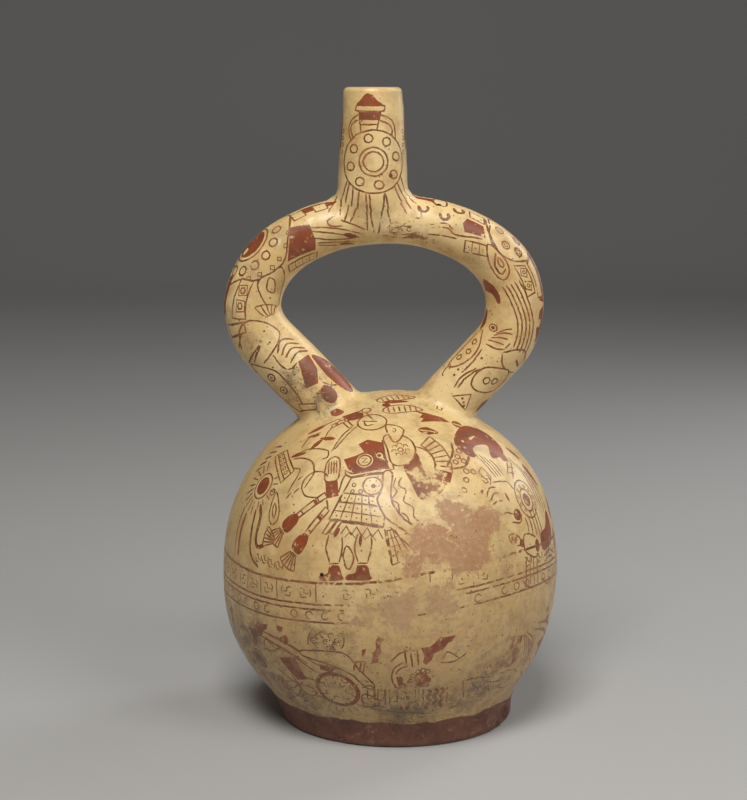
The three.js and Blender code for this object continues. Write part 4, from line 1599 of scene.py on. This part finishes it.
# The finished clay
# Hand work leaves the wall a little uneven all over. The painted skin, the foot, the lip and
# the hollow become one closed mesh, shaded by the true slope of the clay and not by its facets.
even_foot = 22
even_neck = 272
wave_draw = random.Random(41)
waves = []
wave_sizes = ((85, 0.3), (60, 0.22), (60, 0.2), (38, 0.12), (34, 0.1), (26, 0.06), (22, 0.05), (17, 0.03))
for size, height in wave_sizes:
    heading = Vector((wave_draw.gauss(0, 1), wave_draw.gauss(0, 1), wave_draw.gauss(0, 1))).normalized()
    waves.append((np.array(heading) * 2 * math.pi / size, height, wave_draw.uniform(0, 2 * math.pi)))


def unevenness(places):
    """How far the wall stands proud at each place, and how fast that changes."""
    height = np.zeros(len(places))
    slope = np.zeros((len(places), 3))
    for pace, amount, start in waves:
        angle = places @ pace + start
        height += amount * np.sin(angle)
        slope += amount * np.cos(angle)[:, None] * pace
    return height, slope


def clay_gap(place):
    tube = line_gap(place, np.arange(0, len(line_s), 2))
    return join(join(tube, body_gap(place), leg_joint), spout_gap(place), spout_joint)


def clay_normals(places, gap):
    nudge = 0.05
    columns = []
    for axis in np.eye(3):
        columns.append(gap(places + axis * nudge) - gap(places - axis * nudge))
    normals = np.column_stack(columns)
    return normals / np.linalg.norm(normals, axis=1)[:, None]


points = np.array(skin_points)
painted = points[:skin_total]
on_chamber = np.arange(skin_total) >= chamber_first
normals = np.zeros((skin_total, 3))
normals[on_chamber] = clay_normals(painted[on_chamber], chamber_gap)
normals[~on_chamber] = clay_normals(painted[~on_chamber], clay_gap)
height, slope = unevenness(painted)
above_foot = smooth_step(painted[:, 2], foot_seam, even_foot)
hold = above_foot * (1 - smooth_step(painted[:, 2], even_neck, neck_top))
points[:skin_total] += normals * (height * hold)[:, None]
slope -= normals * np.sum(slope * normals, axis=1)[:, None]
normals -= slope * hold[:, None]
normals /= np.linalg.norm(normals, axis=1)[:, None]

bottle_mesh = bpy.data.meshes.new("painted_bottle")
bottle_mesh.from_pydata((points * MM).tolist(), [], skin_faces)
for name, kind in (("fine_line", line_kind), ("red_area", red_kind), ("pinhole_shade", pit_shade_kind)):
    layer = bottle_mesh.attributes.new(name, "FLOAT", "FACE")
    layer.data.foreach_set("value", (np.array(skin_paint) == kind).astype(float))
bottle_mesh.polygons.foreach_set("use_smooth", [True] * len(skin_faces))
all_normals = np.zeros((len(points), 3))
all_normals[:skin_total] = normals
bottle_mesh.normals_split_custom_set_from_vertices(all_normals.tolist())
bottle = bpy.data.objects.new("painted_bottle", bottle_mesh)
bpy.context.scene.collection.objects.link(bottle)

# The slip and the paint as they look now
# Cream slip burnished to a dull shine, red-brown paint worn thin on what stands proud, clay
# showing where the slip has gone, black specks and dirt in the pores, and a bare brown foot.
# Light is painted in too: a sheen in the pale cream, shade in the cream towards the foot, and
# near-black discs for the shade inside two small holes.


def add_node(tree, kind, **settings):
    node = tree.nodes.new(kind)
    for name, value in settings.items():
        setattr(node, name, value)
    return node


def wire(tree, source, target):
    tree.links.new(source, target)


def noise(tree, place, size, detail=5.0, rough=0.55, twist=0.0):
    """Cloudy values from 0 to 1 with features of a size in millimetres."""
    node = add_node(tree, "ShaderNodeTexNoise")
    wire(tree, place, node.inputs["Vector"])
    node.inputs["Scale"].default_value = 1 / (size * MM)
    node.inputs["Detail"].default_value = detail
    node.inputs["Roughness"].default_value = rough
    node.inputs["Distortion"].default_value = twist
    return node.outputs["Fac"]


def ramp(tree, value, low, high, start=0.0, end=1.0):
    """A soft threshold: start below low, end above high."""
    node = add_node(tree, "ShaderNodeMapRange", interpolation_type="SMOOTHSTEP")
    wire(tree, value, node.inputs["Value"])
    node.inputs["From Min"].default_value = low
    node.inputs["From Max"].default_value = high
    node.inputs["To Min"].default_value = start
    node.inputs["To Max"].default_value = end
    return node.outputs["Result"]


def sum_up(tree, operation, first, second):
    node = add_node(tree, "ShaderNodeMath", operation=operation)
    for socket, value in zip(node.inputs, (first, second)):
        if isinstance(value, (int, float)):
            socket.default_value = value
        else:
            wire(tree, value, socket)
    return node.outputs["Value"]


def times(tree, first, second):
    return sum_up(tree, "MULTIPLY", first, second)


def plus(tree, first, second):
    return sum_up(tree, "ADD", first, second)


def blend(tree, share, under, over):
    """Lay one colour over another by a share. A colour is a socket or three plain numbers."""
    node = add_node(tree, "ShaderNodeMix", data_type="RGBA")
    for socket, value in ((node.inputs[6], under), (node.inputs[7], over)):
        if isinstance(value, tuple):
            socket.default_value = (*value, 1)
        else:
            wire(tree, value, socket)
    if isinstance(share, (int, float)):
        node.inputs[0].default_value = share
    else:
        wire(tree, share, node.inputs[0])
    return node.outputs[2]


def new_material(name):
    material = bpy.data.materials.new(name)
    material.use_nodes = True
    tree = material.node_tree
    shader = tree.nodes["Principled BSDF"]
    place = add_node(tree, "ShaderNodeTexCoord").outputs["Object"]
    return material, tree, shader, place


def attribute(tree, name):
    return add_node(tree, "ShaderNodeAttribute", attribute_name=name).outputs["Fac"]


# The pale cream is the slip's own colour, made paler and less saturated by a painted sheen.
pale_cream_and_sheen = (0.81, 0.610, 0.300)
golden_cream = (0.67, 0.455, 0.185)
brown_stain = (0.46, 0.262, 0.095)
grey_stain = (0.40, 0.31, 0.16)
chalky_cream = (0.86, 0.66, 0.34)
# Painted shade: the cream is darker and browner towards the foot.
low_cream_in_shade = (0.50, 0.315, 0.125)
bright_red = (0.290, 0.062, 0.018)
dark_red = (0.190, 0.045, 0.015)
rubbed_red = (0.44, 0.19, 0.075)
dark_line = (0.160, 0.045, 0.013)
thin_line = (0.300, 0.100, 0.028)
pink_clay = (0.39, 0.172, 0.076)
tan_clay = (0.47, 0.30, 0.165)
dusty_clay = (0.50, 0.29, 0.155)
mottled_clay = (0.46, 0.27, 0.15)
scoured_slip = (0.40, 0.235, 0.115)
brown_grime = (0.15, 0.095, 0.055)
black_soot = (0.035, 0.022, 0.015)
# Near black, the painted shade inside the two small holes.
painted_hole_shade = (0.010, 0.007, 0.005)
foot_clay = (0.185, 0.068, 0.040)
foot_shade = (0.120, 0.046, 0.028)
scuffed_foot = (0.31, 0.165, 0.108)
foot_soot = (0.04, 0.026, 0.02)
foot_rim = (0.34, 0.19, 0.12)
inner_clay = (0.30, 0.15, 0.085)
inner_shade = (0.19, 0.095, 0.055)


def worn_paint():
    material, tree, shader, place = new_material("worn slip paint")
    parts = add_node(tree, "ShaderNodeSeparateXYZ")
    wire(tree, place, parts.inputs["Vector"])
    worn = attribute(tree, "worn")
    darkened = attribute(tree, "darkened")

    clouds = noise(tree, place, 34, 6)
    patches = noise(tree, place, 9, 6, 0.6)
    grain = noise(tree, place, 1.6, 4, 0.6)
    pits = noise(tree, place, 0.9, 3, 0.5)

    # Pale cream: the slip's own colour with a painted sheen laid in.
    cream = blend(tree, ramp(tree, clouds, 0.35, 0.68), pale_cream_and_sheen, golden_cream)
    cream = blend(tree, ramp(tree, patches, 0.44, 0.68, 0, 0.6), cream, brown_stain)
    greyed = noise(tree, place, 21, 7, 0.65, 0.5)
    cream = blend(tree, ramp(tree, greyed, 0.50, 0.70, 0, 0.5), cream, grey_stain)
    cream = blend(tree, ramp(tree, grain, 0.45, 0.75, 0, 0.25), cream, chalky_cream)
    # Darker and browner towards the foot by height: painted shade on the lower chamber.
    cream = blend(tree, ramp(tree, parts.outputs["Z"], 0.025, 0.125, 0.7, 0.0), cream, low_cream_in_shade)

    red = blend(tree, ramp(tree, patches, 0.35, 0.65), bright_red, dark_red)
    red = blend(tree, ramp(tree, grain, 0.56, 0.80, 0, 0.4), red, rubbed_red)
    line = blend(tree, ramp(tree, patches, 0.40, 0.66), dark_line, thin_line)

    rub = times(tree, worn, 0.34)
    flakes = plus(tree, noise(tree, place, 3.2, 7, 0.62), rub)
    fade = ramp(tree, flakes, 0.60, 0.70)
    kept = sum_up(tree, "SUBTRACT", 1.0, times(tree, fade, 0.92))
    thinned = times(tree, kept, ramp(tree, worn, 0.1, 0.7, 1.0, 0.6))
    colour = blend(tree, times(tree, attribute(tree, "red_area"), thinned), cream, red)
    thin = ramp(tree, noise(tree, place, 2.2, 4), 0.30, 0.55, 0.72, 1.0)
    line_share = times(tree, times(tree, attribute(tree, "fine_line"), kept), thin)
    colour = blend(tree, line_share, colour, line)

    broad = times(tree, noise(tree, place, 15, 9, 0.72, 0.6), 0.75)
    ragged = times(tree, noise(tree, place, 2.4, 5, 0.6), 0.25)
    bare_noise = plus(tree, plus(tree, broad, ragged), times(tree, worn, 0.40))
    bare = ramp(tree, bare_noise, 0.76, 0.81)
    lower = ramp(tree, parts.outputs["Z"], 0.074, 0.084, 0.9, 0.1)
    clay = blend(tree, lower, pink_clay, tan_clay)
    clay = blend(tree, ramp(tree, grain, 0.4, 0.75, 0, 0.5), clay, dusty_clay)
    clay = blend(tree, ramp(tree, noise(tree, place, 8, 8, 0.7), 0.44, 0.60, 0, 0.7), clay, mottled_clay)
    remains = ramp(tree, noise(tree, place, 1.8, 6, 0.7), 0.36, 0.50, 0.45, 0.92)
    colour = blend(tree, times(tree, bare, remains), colour, clay)

    # In the worn places this darker mottling is scoured slip. Below the chamber's middle it is laid
    # everywhere, so the chamber grows darker towards the foot.
    scoured = ramp(tree, noise(tree, place, 5, 10, 0.8, 0.4), 0.45, 0.60, 0, 0.62)
    belly_down = ramp(tree, parts.outputs["Z"], 0.060, 0.100, 1.0, 0.12)
    zone = sum_up(tree, "MAXIMUM", belly_down, ramp(tree, worn, 0.15, 0.8))
    colour = blend(tree, times(tree, scoured, zone), colour, scoured_slip)

    # Brown grime in a noise all over, made heavier, with more specks, round the joints and low on the
    # chamber.
    grime = plus(tree, noise(tree, place, 6, 8, 0.7), times(tree, darkened, 0.34))
    smear = ramp(tree, grime, 0.62, 0.92, 0, 0.75)
    colour = blend(tree, smear, colour, brown_grime)
    speck = plus(tree, pits, times(tree, darkened, 0.11))
    speck = ramp(tree, speck, 0.69, 0.73, 0, 0.85)
    soot = add_node(tree, "ShaderNodeTexVoronoi")
    wire(tree, place, soot.inputs["Vector"])
    soot.inputs["Scale"].default_value = 1 / (2.3 * MM)
    soot_size = ramp(tree, noise(tree, place, 7, 4), 0.42, 0.68, 0.0, 0.19)
    soot_dots = sum_up(tree, "LESS_THAN", soot.outputs["Distance"], soot_size)
    speck = sum_up(tree, "MAXIMUM", speck, times(tree, soot_dots, 0.7))
    colour = blend(tree, speck, colour, black_soot)
    # Painted shade: the two small holes are near-black discs, not holes cut into the clay.
    colour = blend(tree, attribute(tree, "pinhole_shade"), colour, painted_hole_shade)

    edge = plus(tree, parts.outputs["Z"], times(tree, noise(tree, place, 14, 5), 0.006))
    below = ramp(tree, edge, 0.0150, 0.0158, 1.0, 0.0)
    brown = blend(tree, ramp(tree, patches, 0.35, 0.7), foot_clay, foot_shade)
    scuff = ramp(tree, noise(tree, place, 6, 9, 0.75, 0.8), 0.55, 0.62, 0, 0.7)
    brown = blend(tree, scuff, brown, scuffed_foot)
    brown = blend(tree, speck, brown, foot_soot)
    rim = ramp(tree, parts.outputs["Z"], 0.0002, 0.0022, 0.35, 0.0)
    brown = blend(tree, rim, brown, foot_rim)
    colour = blend(tree, below, colour, brown)
    wire(tree, colour, shader.inputs["Base Color"])

    dull = sum_up(tree, "MAXIMUM", bare, below)
    gloss = plus(tree, ramp(tree, patches, 0.3, 0.7, 0.36, 0.52), times(tree, dull, 0.28))
    wire(tree, gloss, shader.inputs["Roughness"])
    shader.inputs["Coat Weight"].default_value = 0.2
    shader.inputs["Coat Roughness"].default_value = 0.3

    low = plus(tree, times(tree, bare, -0.5), times(tree, speck, -0.8))
    relief = plus(tree, low, times(tree, grain, 0.6))
    relief = plus(tree, relief, times(tree, patches, 0.5))
    bump = add_node(tree, "ShaderNodeBump")
    bump.inputs["Strength"].default_value = 0.22
    bump.inputs["Distance"].default_value = 0.0006
    wire(tree, relief, bump.inputs["Height"])
    wire(tree, bump.outputs["Normal"], shader.inputs["Normal"])
    return material


def bare_clay():
    material, tree, shader, place = new_material("bare clay inside")
    patches = noise(tree, place, 8, 6, 0.6)
    colour = blend(tree, ramp(tree, patches, 0.35, 0.7), inner_clay, inner_shade)
    wire(tree, colour, shader.inputs["Base Color"])
    shader.inputs["Roughness"].default_value = 0.85
    bump = add_node(tree, "ShaderNodeBump")
    bump.inputs["Strength"].default_value = 0.3
    bump.inputs["Distance"].default_value = 0.0008
    wire(tree, patches, bump.inputs["Height"])
    wire(tree, bump.outputs["Normal"], shader.inputs["Normal"])
    return material


# Wear is heaviest on the belly's right front, where slip is lost over a broad patch. Dirt darkens
# the left leg, and the skin is darker, with more specks, round the joints and low on the chamber.
def on_belly(azimuth, elevation):
    azimuth, elevation = math.radians(azimuth), math.radians(elevation)
    across = chamber_radius * math.cos(elevation)
    up = chamber_middle + chamber_half_height * math.sin(elevation)
    return (across * math.sin(azimuth), -across * math.cos(azimuth), up)


worn_places = [
    {"at": on_belly(15, 42), "reach": 9, "amount": 0.55},
    {"at": on_belly(15, 20), "reach": 13, "amount": 1.2},
    {"at": on_belly(27, 19), "reach": 15, "amount": 1.35},
    {"at": on_belly(22, 29), "reach": 12, "amount": 1.05},
    {"at": on_belly(36, 25), "reach": 12, "amount": 0.95},
    {"at": on_belly(8, 14), "reach": 9, "amount": 0.85},
    {"at": on_belly(40, 11), "reach": 11, "amount": 0.8},
    {"at": on_belly(3, 0), "reach": 14, "amount": 1.0},
    {"at": on_belly(16, 2), "reach": 12, "amount": 1.0},
    {"at": on_belly(-9, -3), "reach": 11, "amount": 0.85},
    {"at": on_belly(28, -4), "reach": 12, "amount": 0.7},
    {"at": on_belly(-20, 4), "reach": 8, "amount": 0.6},
    {"at": on_belly(42, -22), "reach": 16, "amount": 0.6},
    {"at": on_belly(8, -34), "reach": 14, "amount": 0.5},
    {"at": on_belly(-122, 16), "reach": 22, "amount": 0.8},
    {"at": on_belly(160, -6), "reach": 24, "amount": 0.75},
    {"at": on_belly(100, 4), "reach": 16, "amount": 0.65},
    {"at": (-2, -12, 220), "reach": 12, "amount": 0.5},
    {"at": (14, -12, 222), "reach": 10, "amount": 0.5},
]
darkened_places = [
    {"at": (-40, -12, 156), "reach": 12, "amount": 0.9},
    {"at": (-30, -12, 146), "reach": 9, "amount": 0.9},
    {"at": (-60, -12, 172), "reach": 14, "amount": 0.4},
    {"at": on_belly(8, -42), "reach": 22, "amount": 0.95},
    {"at": on_belly(-22, -14), "reach": 18, "amount": 0.6},
    {"at": on_belly(38, -34), "reach": 22, "amount": 0.85},
    {"at": on_belly(-58, -20), "reach": 26, "amount": 0.8},
    {"at": on_belly(-40, -44), "reach": 22, "amount": 0.85},
    {"at": on_belly(0, 88), "reach": 18, "amount": 0.45},
    {"at": (50, -8, 165), "reach": 16, "amount": 0.3},
    {"at": on_belly(180, -30), "reach": 30, "amount": 0.5},
]


def spread_over(places, spots):
    total = np.zeros(len(places))
    for spot in spots:
        apart = np.linalg.norm(places - np.array(spot["at"]), axis=1)
        total = np.maximum(total, spot["amount"] * np.exp(-(apart / spot["reach"]) ** 2))
    return total


for name, spots in (("worn", worn_places), ("darkened", darkened_places)):
    layer = bottle_mesh.attributes.new(name, "FLOAT", "POINT")
    layer.data.foreach_set("value", spread_over(points, spots))
bottle_mesh.materials.append(worn_paint())
bottle_mesh.materials.append(bare_clay())
inside_slots = np.zeros(len(skin_faces), int)
inside_slots[hollow_start:] = 1
bottle_mesh.polygons.foreach_set("material_index", inside_slots)
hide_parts("stirrup_spout_bottle")
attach(bottle, "root")

# The floor and the light
# A pale studio sweep, a broad soft light from the upper left, a weaker one from the right,
# and a strip that catches the right edge of the clay.
deselect()
floor_size = 6
wall_height = 3
sweep_radius = 1.2
paper_grey = (0.42, 0.42, 0.42)
pale_paper = (0.45, 0.45, 0.45)
air_tint = (0.84, 0.82, 0.80, 1)
air_strength = 0.10
bpy.ops.mesh.primitive_plane_add(size=floor_size)
floor = bpy.context.object
floor.name = "studio_sweep"
bpy.ops.object.mode_set(mode="EDIT")
bpy.ops.mesh.select_all(action="DESELECT")
bpy.ops.object.mode_set(mode="OBJECT")
for edge in floor.data.edges:
    edge.select = all(floor.data.vertices[corner].co.y > 0 for corner in edge.vertices)
bpy.ops.object.mode_set(mode="EDIT")
bpy.ops.mesh.select_mode(type="EDGE")
bpy.ops.mesh.extrude_region_move(TRANSFORM_OT_translate={"value": (0, 0, wall_height)})
bpy.ops.object.mode_set(mode="OBJECT")
sweep = floor.modifiers.new("sweep", "BEVEL")
sweep.width = sweep_radius
sweep.segments = 24
sweep.angle_limit = math.radians(30)
bpy.ops.object.modifier_apply(modifier="sweep")
bpy.ops.object.shade_smooth()
paper, paper_tree, paper_shader, paper_place = new_material("studio paper")
paper_tone = blend(paper_tree, noise(paper_tree, paper_place, 400, 2), paper_grey, pale_paper)
wire(paper_tree, paper_tone, paper_shader.inputs["Base Color"])
paper_shader.inputs["Roughness"].default_value = 0.9
floor.data.materials.append(paper)


def soft_light(name, place, aim, size, power, tint):
    light = bpy.data.lights.new(name, "AREA")
    light.shape = "RECTANGLE"
    light.size, light.size_y = size
    light.energy = power
    light.color = tint
    lamp = bpy.data.objects.new(name, light)
    lamp.location = place
    lamp.rotation_euler = (Vector(aim) - Vector(place)).to_track_quat("-Z", "Y").to_euler()
    bpy.context.scene.collection.objects.link(lamp)


soft_light("key", (-0.14, -0.80, 1.30), (0, 0, 0.18), (0.55, 0.55), 16.4, (1.0, 0.97, 0.92))
soft_light("fill", (0.85, -0.80, 0.95), (0, 0, 0.16), (0.6, 0.6), 5.8, (1.0, 0.98, 0.94))
soft_light("edge", (0.75, 0.55, 0.7), (0, 0, 0.15), (0.3, 0.9), 3.2, (1.0, 1.0, 1.0))
world = bpy.data.worlds.new("studio air")
world.use_nodes = True
world.node_tree.nodes["Background"].inputs["Color"].default_value = air_tint
world.node_tree.nodes["Background"].inputs["Strength"].default_value = air_strength
bpy.context.scene.world = world

bpy.context.scene.view_settings.view_transform = "Standard"

# The camera
# It stands level with the lip, a long lens away, and looks a little down.
photo_long_side = 800
focal_pixels = 1913
camera_tilt = 0.161
camera_turn = 0.009
camera_place = (0, -0.85, 0.283)
film_width = 36
camera_data = bpy.data.cameras.new("camera")
camera_data.sensor_width = film_width
camera_data.lens = film_width * focal_pixels / photo_long_side
camera_data.clip_end = 20
camera = bpy.data.objects.new("camera", camera_data)
camera.location = camera_place
camera.rotation_euler = (math.pi / 2 - camera_tilt, 0, camera_turn)
bpy.context.scene.collection.objects.link(camera)
bpy.context.scene.camera = camera
